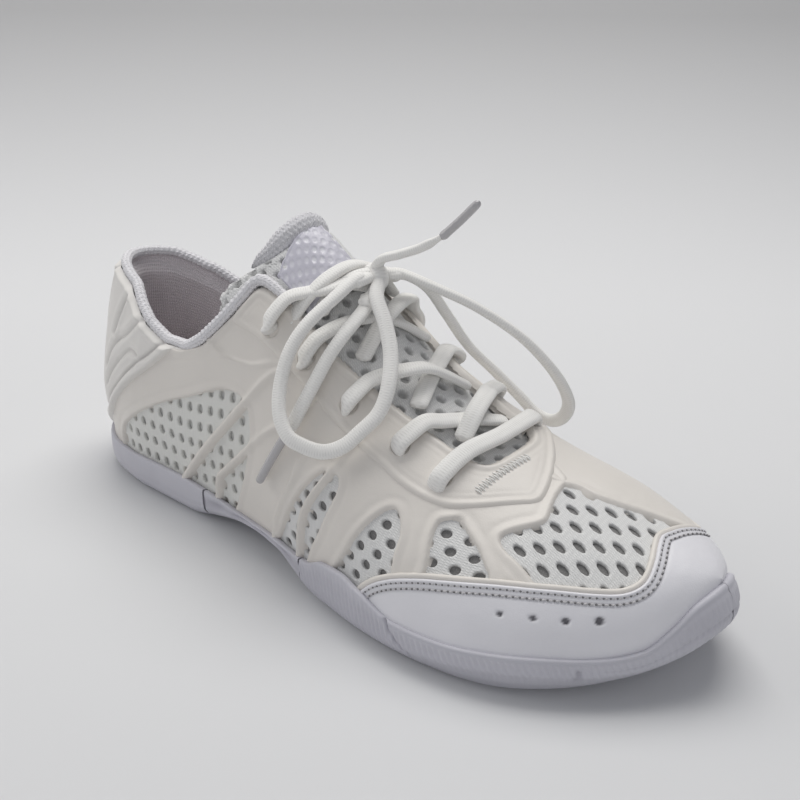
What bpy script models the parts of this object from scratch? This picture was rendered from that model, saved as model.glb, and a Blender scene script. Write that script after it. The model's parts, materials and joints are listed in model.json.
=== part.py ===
"""Right-foot cheer shoe: a low, laced training shoe with a mesh upper under thin overlays.

Every sub-part of the upper is a patch of one surface, the skin, which is wrapped round the foot.
A place on the skin has three numbers: turn runs from 0 at the back of the heel to 1 at the tip of the
toe, side is -1 on the lateral half and +1 on the medial half, and rise runs from 0 degrees where the
wall stands on the sole to 90 degrees on the ridge over the instep. Depth is then measured inwards.

The frame: origin on the ground under the middle of the sole, +X to the toe, +Y to the medial side.
Lengths in this file are millimetres, and MM turns them into metres.
"""
import math

import bpy
import bmesh
from mathutils import Vector

MM = 0.001

# ---------------------------------------------------------------- driving dimensions
LENGTH = 255.0            # outsole, heel to toe
HALF = LENGTH / 2
LACE_RADIUS = 2.3
AGLET_RADIUS = 1.5
BINDING_RADIUS = 2.2
GAP = 0.4                 # clearance between layers that lie on each other
RIM_WALL = 1.0            # thickness of the cup sole's side wall
TUCK = 1.6                # how far the upper stands inside the sole's outline
TOE_TUCK = 0.5            # and how much further at the toe
STATIONS = 36             # steps from heel to toe
RISES = tuple(range(0, 100, 10))

# Where each layer of the upper lies, as (outer, inner) depths.
OVERLAY = (0.0, 0.9)
CLIP = (-0.7, 0.9)
RAISED = (-0.5, 0.9)
MESH = (1.5, 2.1)
COUNTER = (2.7, 3.5)
TONGUE = (2.8, 3.7)
TONGUE_FOAM = (4.2, 6.6)
PATCH = (1.9, 2.4)

HEEL_UNIT_END = -46.0     # where the heel unit of the outsole stops
FOREFOOT_UNIT_START = 9.0
UNIT_GAP = 0.8
BOARD_THICKNESS = 1.0
SOCKLINER_THICKNESS = 3.5
BOARD_INSET = 5.5
SOCKLINER_INSET = 7.6
UNDERSIDE_INSET = 7.0

WALL_END = -46.0          # collar padding and lining stop here, just behind the tongue
THROAT_FRONT = 57.0
CLIP_FRONT = -67.0
TOE_ARM_START = 38.5
TOE_ARM_END = 105.0

TONGUE_HINGE = Vector((62.0, 3.0, 44.5))
SOCKLINER_HINGE = Vector((118.0, 8.0, 15.0))


class Profile:
    """A smooth curve through a few (place, value) points that never overshoots them."""

    def __init__(self, *points):
        self.at = [float(p[0]) for p in points]
        self.value = [float(p[1]) for p in points]
        steps = range(len(points) - 1)
        width = [self.at[i + 1] - self.at[i] for i in steps]
        slope = [(self.value[i + 1] - self.value[i]) / width[i] for i in steps]
        self.slope = [slope[0]]
        for i in range(1, len(slope)):
            flat = slope[i - 1] * slope[i] <= 0
            before = 2 * width[i] + width[i - 1]
            after = width[i] + 2 * width[i - 1]
            mean = 0.0 if flat else (before + after) / (before / slope[i - 1] + after / slope[i])
            self.slope.append(mean)
        self.slope.append(slope[-1])

    def __call__(self, place):
        place = min(max(place, self.at[0]), self.at[-1])
        i = 0
        while i < len(self.at) - 2 and place > self.at[i + 1]:
            i += 1
        width = self.at[i + 1] - self.at[i]
        t = (place - self.at[i]) / width
        from_left = self.value[i] * (1 + 2 * t) + width * self.slope[i] * t
        from_right = self.value[i + 1] * (3 - 2 * t) + width * self.slope[i + 1] * (t - 1)
        return from_left * (1 - t) ** 2 + from_right * t ** 2


def turn_at(x):
    return math.acos(max(-1.0, min(1.0, -x / HALF))) / math.pi


def x_at(turn):
    return -HALF * math.cos(math.pi * turn)


def outline(*points):
    """A sole outline, given as (x, y) points and read by turn, so that its ends come out round."""
    return Profile(*[(turn_at(x), y) for x, y in points])


# ---------------------------------------------------------------- the sole's shape
LATERAL_EDGE = outline(
    (-127.5, 0), (-122, -14.5), (-112, -23.5), (-100, -28), (-85, -30.5), (-60, -31), (-35, -32),
    (-10, -35), (20, -41.5), (40, -45), (55, -46), (70, -44.5), (85, -40), (100, -31), (112, -20),
    (120, -9.5), (125, -1), (127.5, 9))
MEDIAL_EDGE = outline(
    (-127.5, 0), (-122, 14.5), (-112, 23.5), (-100, 28), (-85, 30), (-60, 28.5), (-35, 27.5),
    (-10, 30), (20, 38), (40, 43), (55, 45.5), (70, 46), (85, 44.5), (100, 40), (112, 33.5),
    (120, 26.5), (125, 19), (127.5, 9))
UNDERSIDE_Z = Profile(
    (-127.5, 4.4), (-119, 1.2), (-110, 0), (-55, 0), (-44, 2.5), (-30, 6.3), (-17, 8.2), (-5, 6.8),
    (5, 2.5), (12, 0), (80, 0), (92, 1), (105, 3.2), (115, 6.5), (122, 10), (127.5, 14))
EDGE_Z = Profile(
    (-127.5, 7.5), (-118, 3.5), (-105, 2.6), (-57, 2.6), (-42, 6), (-17, 9.2), (-5, 8.2), (8, 4),
    (18, 2.6), (45, 3.2), (60, 4.4), (75, 6), (90, 7.3), (105, 8), (115, 9.5), (122, 12.5),
    (127.5, 17))
FEATHER_Z = Profile(
    (-127.5, 15), (-110, 13), (-72, 14), (-60, 14), (-43, 13), (-28, 11.9), (-12, 11.6), (4, 11.4),
    (12, 12.2), (20, 16), (30, 17), (38, 15.5), (52, 12), (65, 12), (80, 13), (92, 14),
    (108, 14.5), (115, 16), (120, 21), (124, 26.3), (127.5, 29))
FLOOR_Z = Profile(
    (-127.5, 8), (-110, 6.5), (-60, 6.5), (-35, 9.4), (-17, 10.6), (0, 9.6), (15, 7.2), (30, 6.5),
    (62, 6.6), (75, 7.3), (90, 8.3), (105, 9.1), (113, 10.8), (120, 13.6), (127.5, 18.4))
CUP_BASE = 2.2            # thickness of the cup sole's base
CORNER_INSET = 1.2        # the cup's inner corner, from the outline
CORNER_WALL = 1.1         # and above the chamfered edge

# ---------------------------------------------------------------- the skin's shape
RIDGE_Y = Profile((-127.5, 0), (-60, 2), (-20, 3), (20, 5), (50, 8), (80, 11), (100, 12), (127.5, 9))
RIDGE_Z = Profile(
    (-127.5, 106), (-100, 106), (-80, 108), (-60, 111), (-45, 112), (-30, 110), (-20, 105.5),
    (-10, 98), (0, 88.5), (10, 78.5), (20, 69.5), (30, 63), (40, 57.5), (55, 51), (70, 46),
    (85, 42.5), (100, 38.5), (110, 36), (118, 34), (124, 32.5), (127.5, 31))
FULLNESS = {
    -1: Profile((-127.5, 2.3), (-60, 2.2), (-20, 1.95), (50, 1.9), (80, 2.0), (127.5, 2.3)),
    1: Profile((-127.5, 2.3), (-60, 2.2), (-20, 2.1), (10, 2.3), (50, 2.3), (80, 2.4), (127.5, 2.3))}
COLLAR_LOW = 29.0
TOP_RISE = {
    -1: Profile((-127.5, 43.5), (-118, 43.5), (-108, 42), (-98, 40), (-87, 35.5), (-75, 31),
                (-66, COLLAR_LOW), (-59, COLLAR_LOW), (-48, 32), (-41.7, 36), (-35.8, 41), (-30, 47),
                (-25.5, 52.5), (-18, 53.5), (-9, 55), (4, 58), (20, 64), (37, 67), (50, 68.5),
                (57, 70)),
    1: Profile((-127.5, 43.5), (-118, 43.5), (-108, 42), (-98, 40), (-87, 35.5), (-75, 31),
               (-66, COLLAR_LOW), (-59, COLLAR_LOW), (-48, 32), (-41.7, 36), (-35.8, 41), (-30, 47),
               (-25.5, 52), (-14, 55), (0, 59), (18, 69), (35, 75), (50, 79), (57, 80))}
EYESTAY_RISE = {
    -1: Profile((-33, 41.5), (-24, 41), (5, 44), (24, 47.5), (41, 46.5), (57, 50)),
    1: Profile((-33, 41.5), (-24, 40), (5, 41), (24, 46), (41, 50), (57, 56))}
QUARTER_RISE = {
    -1: Profile((-36, 39.5), (-24, 39.5), (5, 42.7), (24, 46.3), (41, 45.3), (57, 48.5), (66, 50),
                (84, 40)),
    1: Profile((-36, 39.5), (-24, 38.5), (5, 39.7), (24, 44.7), (41, 48.7), (57, 54), (66, 52),
               (84, 40))}
TOE_CAP_RISE = Profile((38, 6), (44, 14), (53.4, 22), (70, 31.5), (85.6, 36.5), (99, 42), (105, 45))
TOE_CAP_FRONT_X = Profile((45, 105), (57, 109.4), (70, 108.8), (80, 105.5), (90, 104))
CLIP_BAND_Z = Profile((-127.5, 17), (-109, 20.5), (-104, 26), (-91, 38.7), (-74, 51), (-62, 60.5))
TONGUE_TOP_X = Profile((41, -45), (46, -43.5), (50, -38.5), (56, -32), (62, -26.3), (71, -22),
                       (79, -20.2), (90, -19))
TONGUE_SIDE_RISE = {
    -1: Profile((0, 42), (0.3, 42), (0.6, 48), (1, 58)),
    1: Profile((0, 42), (0.3, 43), (0.6, 55), (1, 70))}
LOW_CLEAR = 0.4           # the upper stands this far above the footbed's floor


def low_z(x):
    return FLOOR_Z(x) + LOW_CLEAR


def fold(turn, side, rise):
    """Brings a place that runs past the heel, the toe or the ridge back onto the other side."""
    if turn < 0:
        turn, side = -turn, -side
    if turn > 1:
        turn, side = 2 - turn, -side
    if rise > 90:
        rise, side = 180 - rise, -side
    return turn, side, rise


def ramp(value, start, end):
    t = min(max((value - start) / (end - start), 0.0), 1.0)
    return t * t * (3 - 2 * t)


def skin(turn, side, rise):
    turn, side, rise = fold(turn, side, rise)
    x = x_at(turn)
    edge = LATERAL_EDGE(turn) if side < 0 else MEDIAL_EDGE(turn)
    power = 2 / FULLNESS[side](x)
    angle = math.radians(max(rise, 0.0))
    z = low_z(x) + (RIDGE_Z(x) - low_z(x)) * math.sin(angle) ** power
    ridge = RIDGE_Y(x)
    heel = min(max((-80 - x) / 40, 0.0), 0.45)
    pinch = 1 - 0.38 * heel * min(max((z - 35) / 45, 0.0), 1.3)
    y = ridge + (edge - ridge) * max(math.cos(angle), 0.0) ** power * pinch
    back = min(max((-70 - x) / 57.5, 0.0), 1.0) ** 2
    front = min(max((x - 100) / 27.5, 0.0), 1.0) ** 2
    lean = 8.5 * min(max((z - 35) / 45, 0.0), 2.0) ** 1.6
    return Vector((x + back * (lean + 0.4) - front * 0.24 * max(z - 16, 0.0), y, z))


def outward(turn, side, rise):
    turn, side, rise = fold(turn, side, rise)
    if turn > 0.985 and rise > 85:
        return Vector((1, 0, 1)).normalized()
    along = skin(turn + 0.004, side, rise) - skin(turn - 0.004, side, rise)
    up = skin(turn, side, rise + 0.6) - skin(turn, side, max(rise - 0.6, 0.0))
    return (along.cross(up) * -side).normalized()


def place(turn, side, rise, depth):
    """A point at some depth under the skin. Near the sole the whole wall tucks in behind the rim."""
    point = skin(turn, side, rise)
    tuck = TUCK * (1 - ramp(point.z - FEATHER_Z(point.x), 0.0, 22.0))
    tuck += TOE_TUCK * ramp(point.x, 100, 118) * (1 - ramp(point.z - FEATHER_Z(point.x), 0.0, 8.0))
    return point - outward(turn, side, rise) * (depth + tuck)


def rise_at_height(x, side, z):
    reach = (z - low_z(x)) / (RIDGE_Z(x) - low_z(x))
    return math.degrees(math.asin(min(max(reach, 0.0), 1.0) ** (FULLNESS[side](x) / 2)))


# ---------------------------------------------------------------- making solids
def clear_scene():
    for old in list(bpy.data.objects):
        bpy.data.objects.remove(old, do_unlink=True)


def material(name, colour, roughness):
    made = bpy.data.materials.get(name) or bpy.data.materials.new(name)
    made.use_nodes = True
    shader = made.node_tree.nodes["Principled BSDF"]
    shader.inputs["Base Color"].default_value = (*colour, 1)
    shader.inputs["Roughness"].default_value = roughness
    shader.inputs["Metallic"].default_value = 0
    return made


def add_object(name, mesh, look):
    mesh.materials.append(look)
    made = bpy.data.objects.new(name, mesh)
    bpy.context.scene.collection.objects.link(made)
    return made


def solid_from_faces(name, faces, look):
    """Welds loose polygons, given as lists of points in millimetres, into one closed body."""
    shape = bmesh.new()
    known = {}

    def vertex(point):
        key = tuple(round(value, 4) for value in point)
        if key not in known:
            known[key] = shape.verts.new(Vector(point) * MM)
        return known[key]

    for face in faces:
        corners = []
        for point in face:
            corner = vertex(point)
            if corner not in corners:
                corners.append(corner)
        if len(corners) > 2 and shape.faces.get(corners) is None:
            shape.faces.new(corners)
    bmesh.ops.recalc_face_normals(shape, faces=shape.faces)
    if shape.calc_volume(signed=True) < 0:
        bmesh.ops.reverse_faces(shape, faces=shape.faces)
    mesh = bpy.data.meshes.new(name)
    shape.to_mesh(mesh)
    shape.free()
    mesh.shade_smooth()
    mesh.set_sharp_from_angle(angle=math.radians(40))
    return add_object(name, mesh, look)


def cells(rows):
    """The four-cornered cells between neighbouring rows of places."""
    for near, far in zip(rows, rows[1:]):
        for i in range(len(near) - 1):
            yield near[i], near[i + 1], far[i + 1], far[i]


def layer(name, patches, depths, look):
    """A sheet between two depths under the skin, covering every cell of its patches."""
    outer_depth, inner_depth = depths

    def depth_of(limit, spot):
        return limit(skin(*spot).z) if callable(limit) else limit

    def corner(spot, limit):
        return tuple(place(*spot, depth_of(limit, spot)))

    faces = []
    rims = {}
    for rows in patches:
        for cell in cells(rows):
            outer = [corner(spot, outer_depth) for spot in cell]
            inner = [corner(spot, inner_depth) for spot in cell]
            if len(set(outer)) < 3:
                continue
            faces.append(outer)
            faces.append(list(reversed(inner)))
            for i in range(4):
                ends = (i, (i + 1) % 4)
                key = frozenset(tuple(round(v, 3) for v in outer[e]) for e in ends)
                rims.setdefault(key, []).append([outer[ends[0]], outer[ends[1]],
                                                 inner[ends[1]], inner[ends[0]]])
    faces += [found[0] for key, found in rims.items() if len(found) == 1 and len(key) == 2]
    return solid_from_faces(name, faces, look)


def turns(start, end, *extra):
    """The turns of the shared stations between two x positions, with both ends and any extras."""
    first, last = turn_at(start), turn_at(end)
    keep = 0.35 / STATIONS
    fixed = [first, last] + [turn_at(x) for x in extra]
    inner = [i / STATIONS for i in range(STATIONS + 1)]
    inner = [t for t in inner if first < t < last and all(abs(t - f) > keep for f in fixed)]
    return sorted(fixed + inner)


def spread(low, high, count):
    return [low + (high - low) * i / count for i in range(count + 1)]


def wall_rows(start, end, side, low, high, *extra):
    """Rows of places on one side, between two rise limits that depend on x.

    All layers share the same stations and rises, so that their facets lie parallel. Rises beyond a
    row's limits fall together on the limit, and their cells vanish."""
    rows = []
    for turn in turns(start, end, *extra):
        x = x_at(turn)
        bottom, top = low(x), high(x)
        rows.append([(turn, side, min(max(rise, bottom), top)) for rise in RISES])
    return rows


def heel_rows(front, low, high):
    """Rows of places that run round the heel, from the lateral side to the medial one."""
    lateral = wall_rows(-HALF, front, -1, lambda x: low(x, -1), lambda x: high(x, -1))
    medial = wall_rows(-HALF, front, 1, lambda x: low(x, 1), lambda x: high(x, 1))
    return list(reversed(lateral)) + medial[1:]


# ---------------------------------------------------------------- sole
def ring_point(turn, side, inset, z):
    """A point inside the sole's outline, moved straight in from its edge."""
    def edge(at):
        if at < 0 or at > 1:
            at = -at if at < 0 else 2 - at
            other = MEDIAL_EDGE if side < 0 else LATERAL_EDGE
            return Vector((x_at(at), other(at), 0))
        return Vector((x_at(at), (LATERAL_EDGE if side < 0 else MEDIAL_EDGE)(at), 0))

    along = edge(turn + 0.004) - edge(turn - 0.004)
    inward = Vector((-along.y, along.x, 0)).normalized() * -side
    point = edge(turn) + inward * inset
    return point.x, point.y, z


def prism_faces(columns, cap):
    """Closes a row of ring sections; each section lists its points from lateral round to medial.

    cap lists the polygons that fill a ring, by the ring's point numbers."""
    faces = []
    for near, far in zip(columns, columns[1:]):
        for i in range(len(near)):
            j = (i + 1) % len(near)
            faces.append([near[i], near[j], far[j], far[i]])
    for end in (columns[0], columns[-1]):
        pinched = (Vector(end[0]) - Vector(end[-1])).length < 0.01
        if not pinched:
            faces += [[end[i] for i in polygon] for polygon in cap]
    return faces


def cup_corner_z(x, floor):
    """Where the cup's inner wall meets its sloping floor, above the chamfered edge."""
    return max(floor, EDGE_Z(x) + CORNER_WALL)


def cup_section(turn, floor):
    """One cross-section of the cup sole: base, chamfered edge, side wall and floor."""
    x = x_at(turn)
    feather = FEATHER_Z(x)
    lean = 0.22 * max(feather - 16, 0.0)
    edge = EDGE_Z(x)
    belly = edge + 0.35 * (feather - edge)

    def half(side):
        return [
            ring_point(turn, side, UNDERSIDE_INSET, UNDERSIDE_Z(x)),
            ring_point(turn, side, 0.9, edge),
            ring_point(turn, side, 0.0, belly),
            ring_point(turn, side, lean, feather),
            ring_point(turn, side, lean + RIM_WALL, feather),
            ring_point(turn, side, CORNER_INSET, cup_corner_z(x, floor)),
            ring_point(turn, side, UNDERSIDE_INSET + 0.6, floor)]

    return half(-1) + list(reversed(half(1)))


def sole_unit(name, start, end, look, floor, *extra):
    wall = [(1, 2, 5), (2, 3, 4, 5), (0, 1, 5, 6)]
    cap = wall + [tuple(13 - i for i in polygon) for polygon in wall] + [(0, 6, 7, 13)]
    sections = [cup_section(turn, floor(x_at(turn))) for turn in turns(start, end, *extra)]
    return solid_from_faces(name, prism_faces(sections, cap), look)


def cup_floor(x):
    return UNDERSIDE_Z(x) + CUP_BASE


def waist_floor(x):
    return FLOOR_Z(x) - 0.2


def slab(name, start, end, low_inset, high_inset, bottom, top, look):
    """A flat piece of the footbed that follows the outline at some distance inside it."""
    sections = []
    for turn in turns(start, end):
        x = x_at(turn)
        spots = ((-1, low_inset, bottom), (-1, high_inset(x), top),
                 (1, high_inset(x), top), (1, low_inset, bottom))
        sections.append([ring_point(turn, side, inset, z(x)) for side, inset, z in spots])
    return solid_from_faces(name, prism_faces(sections, [(0, 1, 2, 3)]), look)


def build_sole():
    rubber = material("outsole_rubber", (0.80, 0.80, 0.84), 0.55)
    foam = material("midsole_foam", (0.86, 0.86, 0.88), 0.75)
    board = material("board_fibre", (0.70, 0.67, 0.62), 0.85)
    liner = material("sockliner_fabric", (0.42, 0.39, 0.41), 0.95)
    sole_unit("outsole_heel", -HALF, HEEL_UNIT_END - UNIT_GAP, rubber, cup_floor)
    sole_unit("outsole_waist", HEEL_UNIT_END, FOREFOOT_UNIT_START - UNIT_GAP, rubber, waist_floor)
    sole_unit("outsole_forefoot", FOREFOOT_UNIT_START, HALF, rubber, cup_floor, 55.0, 70.0)

    def on_cup(x):
        return cup_floor(x) + UNIT_GAP

    def board_bottom(x):
        return FLOOR_Z(x) + GAP

    def board_top(x):
        return board_bottom(x) + BOARD_THICKNESS

    def sockliner_bottom(x):
        return board_top(x) + GAP

    def sockliner_top(x):
        return sockliner_bottom(x) + SOCKLINER_THICKNESS

    def midsole_inset(x):
        corner = cup_corner_z(x, cup_floor(x))
        share = max(corner - FLOOR_Z(x), 0.0) / (corner - cup_floor(x))
        return CORNER_INSET + 1.2 + share * (UNDERSIDE_INSET + 0.6 - CORNER_INSET)

    def board_inset(x):
        return BOARD_INSET

    def sockliner_inset(x):
        return SOCKLINER_INSET

    pad = UNDERSIDE_INSET + 1.4
    slab("midsole_heel", -125.5, HEEL_UNIT_END - 4, pad, midsole_inset, on_cup, FLOOR_Z, foam)
    slab("midsole_forefoot", FOREFOOT_UNIT_START + 5, 105, pad, midsole_inset, on_cup, FLOOR_Z, foam)
    slab("insole_board", -HALF, HALF, BOARD_INSET, board_inset, board_bottom, board_top, board)
    slab("sockliner", -HALF, HALF, SOCKLINER_INSET, sockliner_inset, sockliner_bottom, sockliner_top,
         liner)


# ---------------------------------------------------------------- upper
def zero(*_):
    return 0.0


def over_the_ridge(rises):
    """Rises up the lateral side, over the ridge and down the medial side."""
    return [(-1, rise) for rise in rises] + [(1, rise) for rise in rises[-2::-1]]


def build_forefoot_upper():
    knit = material("mesh_knit", (0.86, 0.86, 0.88), 0.85)
    cap = material("toe_cap_synthetic", (0.80, 0.80, 0.84), 0.5)
    arms = [wall_rows(-22, THROAT_FRONT, side, zero, TOP_RISE[side]) for side in (-1, 1)]
    places = over_the_ridge(RISES)
    front = [[(turn, side, rise) for side, rise in places] for turn in turns(THROAT_FRONT, HALF)]
    layer("vamp_mesh", arms + [front], MESH, knit)

    cap_arms = [wall_rows(TOE_ARM_START, TOE_ARM_END, side, zero, TOE_CAP_RISE, 53) for side in (-1, 1)]
    places = over_the_ridge((0, 10, 20, 30, 40, 45, 57, 70, 80, 90))
    rows = []
    for t in spread(0, 1, 6):
        row = []
        for side, rise in places:
            start = turn_at(TOE_CAP_FRONT_X(rise))
            row.append((start + (1 - start) * t, side, rise))
        rows.append(row)
    layer("toe_cap", cap_arms + [rows], OVERLAY, cap)


def clip_band_rise(x, side):
    return rise_at_height(x, side, CLIP_BAND_Z(x))


def quarter_low(x):
    return 0.0 if x < 33 else TOE_CAP_RISE(x) + 1.5


def build_quarters():
    synthetic = material("overlay_synthetic", (0.84, 0.82, 0.79), 0.5)
    for side, name in ((-1, "lateral"), (1, "medial")):
        def quarter_high(x, side=side):
            if x < CLIP_FRONT + UNIT_GAP:
                return clip_band_rise(x, side) - 0.8
            return min(TOP_RISE[side](x), 60.0 if x < -36 else QUARTER_RISE[side](x))

        clip_tip = (CLIP_FRONT + 0.7, CLIP_FRONT + 0.9)
        rows = wall_rows(-127.3, 83, side, quarter_low, quarter_high, *clip_tip)
        layer("quarter_" + name, [rows], OVERLAY, synthetic)
        stay = wall_rows(-33, THROAT_FRONT, side, EYESTAY_RISE[side], TOP_RISE[side])
        layer("eyestay_" + name, [stay], RAISED, synthetic)

    places = [(-1, 64), (-1, 72), (-1, 81), (1, 90), (1, 81), (1, 73)]
    saddle = [[(turn, side, rise) for side, rise in places] for turn in turns(THROAT_FRONT + 4, 73)]
    layer("vamp_saddle", [saddle], RAISED, synthetic)
    tack = [[(turn, side, rise) for side, rise in places] for turn in turns(58, 60.4)]
    layer("throat_bartack", [tack], OVERLAY, material("tack_knit", (0.88, 0.88, 0.88), 0.9))


def padding_inner(z):
    return COUNTER[1] + 2.0 * ramp(z, 38.0, 50.0)


def lining_outer(z):
    return padding_inner(z) + GAP


def lining_inner(z):
    return padding_inner(z) + GAP + 0.8


def build_heel():
    clip = material("heel_clip_synthetic", (0.82, 0.81, 0.79), 0.45)
    knit = material("mesh_knit", (0.86, 0.86, 0.88), 0.85)
    fibre = material("board_fibre", (0.70, 0.67, 0.62), 0.85)
    foam = material("collar_foam", (0.60, 0.57, 0.60), 0.9)
    lining = material("lining_knit", (0.42, 0.39, 0.41), 0.95)
    binding = material("binding_knit", (0.84, 0.84, 0.87), 0.9)

    def top(x, side):
        return TOP_RISE[side](x)

    def mesh_top(x, side):
        return rise_at_height(x, side, 24 + 26 * ramp(x, -115, -45))

    def counter_top(x, side):
        return rise_at_height(x, side, 35 - 16 * ramp(x, -100, -58))

    def padding_low(x, side):
        return rise_at_height(x, side, 38.0)

    def lining_low(x, side):
        return rise_at_height(x, side, FLOOR_Z(x) + 8)

    layer("heel_clip", [heel_rows(CLIP_FRONT, clip_band_rise, top)], CLIP, clip)
    layer("quarter_mesh", [heel_rows(-23, zero, mesh_top)], MESH, knit)
    layer("heel_counter", [heel_rows(-58, zero, counter_top)], COUNTER, fibre)
    layer("collar_padding", [heel_rows(WALL_END, padding_low, top)], (COUNTER[0], padding_inner), foam)
    layer("collar_lining", [heel_rows(WALL_END, lining_low, top)], (lining_outer, lining_inner), lining)
    tube("collar_binding", binding_route(), BINDING_RADIUS, binding)


def beside(edge, at, away, depth):
    """A point at some distance beyond an edge that is drawn on the skin, and at some depth.

    edge gives the place on the skin for a number; away is the distance, to the left of the edge as
    seen from outside when its number grows."""
    step = 0.002
    along = place(*edge(at + step), 0) - place(*edge(at - step), 0)
    normal = outward(*edge(at))
    return place(*edge(at), 0) + normal.cross(along).normalized() * away - normal * depth


def collar_edge(at):
    """The collar's top edge: at runs from -1 at the medial toe, 0 at the heel, to 1 laterally."""
    side = 1 if at < 0 else -1
    turn = abs(at)
    return turn, side, TOP_RISE[side](x_at(turn))


def binding_route():
    """The binding sits on the collar's edge; past the padding it moves out to clear the tongue."""
    spots = []
    front = turn_at(-22)
    for i in range(33):
        at = -front + 2 * front * i / 32
        x = x_at(abs(at))
        depth = 2.4 - 2.2 * ramp(x, -62, WALL_END)
        spots.append(beside(collar_edge, at, BINDING_RADIUS + 0.5 + 0.8 * ramp(x, -40, -28), depth))
    return smooth_route(spots, 5.5)


# ---------------------------------------------------------------- tubes and cords
def smooth_route(points, step):
    """Points at an even spacing along a smooth curve through the given ones."""
    points = [Vector(p) for p in points]
    padded = [2 * points[0] - points[1]] + points + [2 * points[-1] - points[-2]]
    fine = []
    for a, b, c, d in zip(padded, padded[1:], padded[2:], padded[3:]):
        for i in range(16):
            t = i / 16
            fine.append(0.5 * (2 * b + (c - a) * t + (2 * a - 5 * b + 4 * c - d) * t ** 2
                               + (3 * b - a - 3 * c + d) * t ** 3))
    fine.append(points[-1])
    travelled = [0.0]
    for a, b in zip(fine, fine[1:]):
        travelled.append(travelled[-1] + (b - a).length)
    count = max(2, round(travelled[-1] / step))
    route = []
    i = 0
    for k in range(count + 1):
        goal = travelled[-1] * k / count
        while i < len(fine) - 2 and travelled[i + 1] < goal:
            i += 1
        share = (goal - travelled[i]) / (travelled[i + 1] - travelled[i])
        route.append(fine[i].lerp(fine[i + 1], share))
    return route


def tube(name, route, radius, look):
    """A round cord or binding as a bevelled curve with filled ends."""
    curve = bpy.data.curves.new(name, "CURVE")
    curve.dimensions = "3D"
    curve.bevel_depth = radius * MM
    curve.bevel_resolution = 2
    curve.render_resolution_u = 0
    curve.use_fill_caps = True
    spline = curve.splines.new("POLY")
    spline.points.add(len(route) - 1)
    for point, spot in zip(spline.points, route):
        point.co = (*(spot * MM), 1)
    return add_object(name, curve, look)


def ellipsoid(name, centre, radii, direction, look):
    """A squashed ball whose long side points in the given direction."""
    shape = bmesh.new()
    bmesh.ops.create_uvsphere(shape, u_segments=14, v_segments=8, radius=1)
    bmesh.ops.scale(shape, verts=shape.verts, vec=Vector(radii) * MM)
    mesh = bpy.data.meshes.new(name)
    shape.to_mesh(mesh)
    shape.free()
    mesh.shade_smooth()
    made = add_object(name, mesh, look)
    made.location = Vector(centre) * MM
    made.rotation_mode = "QUATERNION"
    made.rotation_quaternion = Vector(direction).to_track_quat("X", "Z")
    return made


# ---------------------------------------------------------------- tongue
def tongue_rows(columns, rows, inset=0.0, start=0.0, end=1.0):
    """Rows of places over the tongue, from its rounded top edge to its seam under the vamp."""
    made = []
    seam = turn_at(64.0)
    for t in spread(start, end, rows):
        row = []
        for c in spread(-1, 1, columns):
            side = -1 if c < 0 else 1
            side_rise = TONGUE_SIDE_RISE[side](t) + inset
            rise = 90 - (90 - side_rise) * abs(c)
            top = turn_at(TONGUE_TOP_X(rise))
            row.append((top + (seam - top) * t, side, rise))
        made.append(row)
    return made


def tongue_edge(at):
    """The tongue's rounded top edge, from -1 laterally over the ridge to 1 medially."""
    side = -1 if at < 0 else 1
    rise = 90 - 46 * abs(at)
    return turn_at(TONGUE_TOP_X(rise)), side, rise


def tongue_roll():
    """Centre points and radii of the padded roll that stands on the tongue's top edge."""
    spots = []
    for at in spread(-0.92, 0.92, 14):
        radius = 4.3 - 1.6 * at ** 2
        spots.append((beside(tongue_edge, at, radius + 0.7, 4.6), radius))
    return spots


def roll_solid(name, spots, look):
    """A closed tube whose radius changes along its length."""
    centres = [spot for spot, _ in spots]
    rings = []
    for i, (centre, radius) in enumerate(spots):
        ahead = centres[min(i + 1, len(centres) - 1)] - centres[max(i - 1, 0)]
        frame = ahead.to_track_quat("Z", "Y")
        ring = []
        for k in range(10):
            angle = math.tau * k / 10
            ring.append(tuple(centre + frame @ Vector((math.cos(angle), math.sin(angle), 0)) * radius))
        rings.append(ring)
    return solid_from_faces(name, prism_faces(rings, [tuple(range(len(rings[0])))]), look)


def build_tongue():
    knit = material("mesh_knit", (0.86, 0.86, 0.88), 0.85)
    pad = material("binding_knit", (0.84, 0.84, 0.87), 0.9)
    lining = material("lining_knit", (0.42, 0.39, 0.41), 0.95)
    film = material("patch_film", (0.70, 0.70, 0.76), 0.4)
    pieces = [
        layer("tongue_body", [tongue_rows(12, 9)], TONGUE, knit),
        layer("tongue_lining", [tongue_rows(12, 9, inset=2.0, end=0.86)], TONGUE_FOAM, lining),
        roll_solid("tongue_pad", tongue_roll(), pad)]
    rows = []
    for t in (0.0, 0.5, 1.0):
        row = []
        for rise in spread(60, 96, 8):
            side = -1 if rise < 90 else 1
            up = rise if rise < 90 else 180 - rise
            row.append((turn_at(TONGUE_TOP_X(up) + 6.5 + 6.5 * t), side, up))
        rows.append(row)
    pieces.append(layer("tongue_patch", [rows], PATCH, film))
    hinge = bpy.data.objects.new("tongue_seam", None)
    bpy.context.scene.collection.objects.link(hinge)
    hinge.location = TONGUE_HINGE * MM
    hang_on(hinge, pieces)


def hang_on(empty, pieces):
    """Parents pieces to an empty on their hinge without moving them."""
    for piece in pieces:
        piece.parent = empty
        piece.location = piece.location - empty.location


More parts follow.
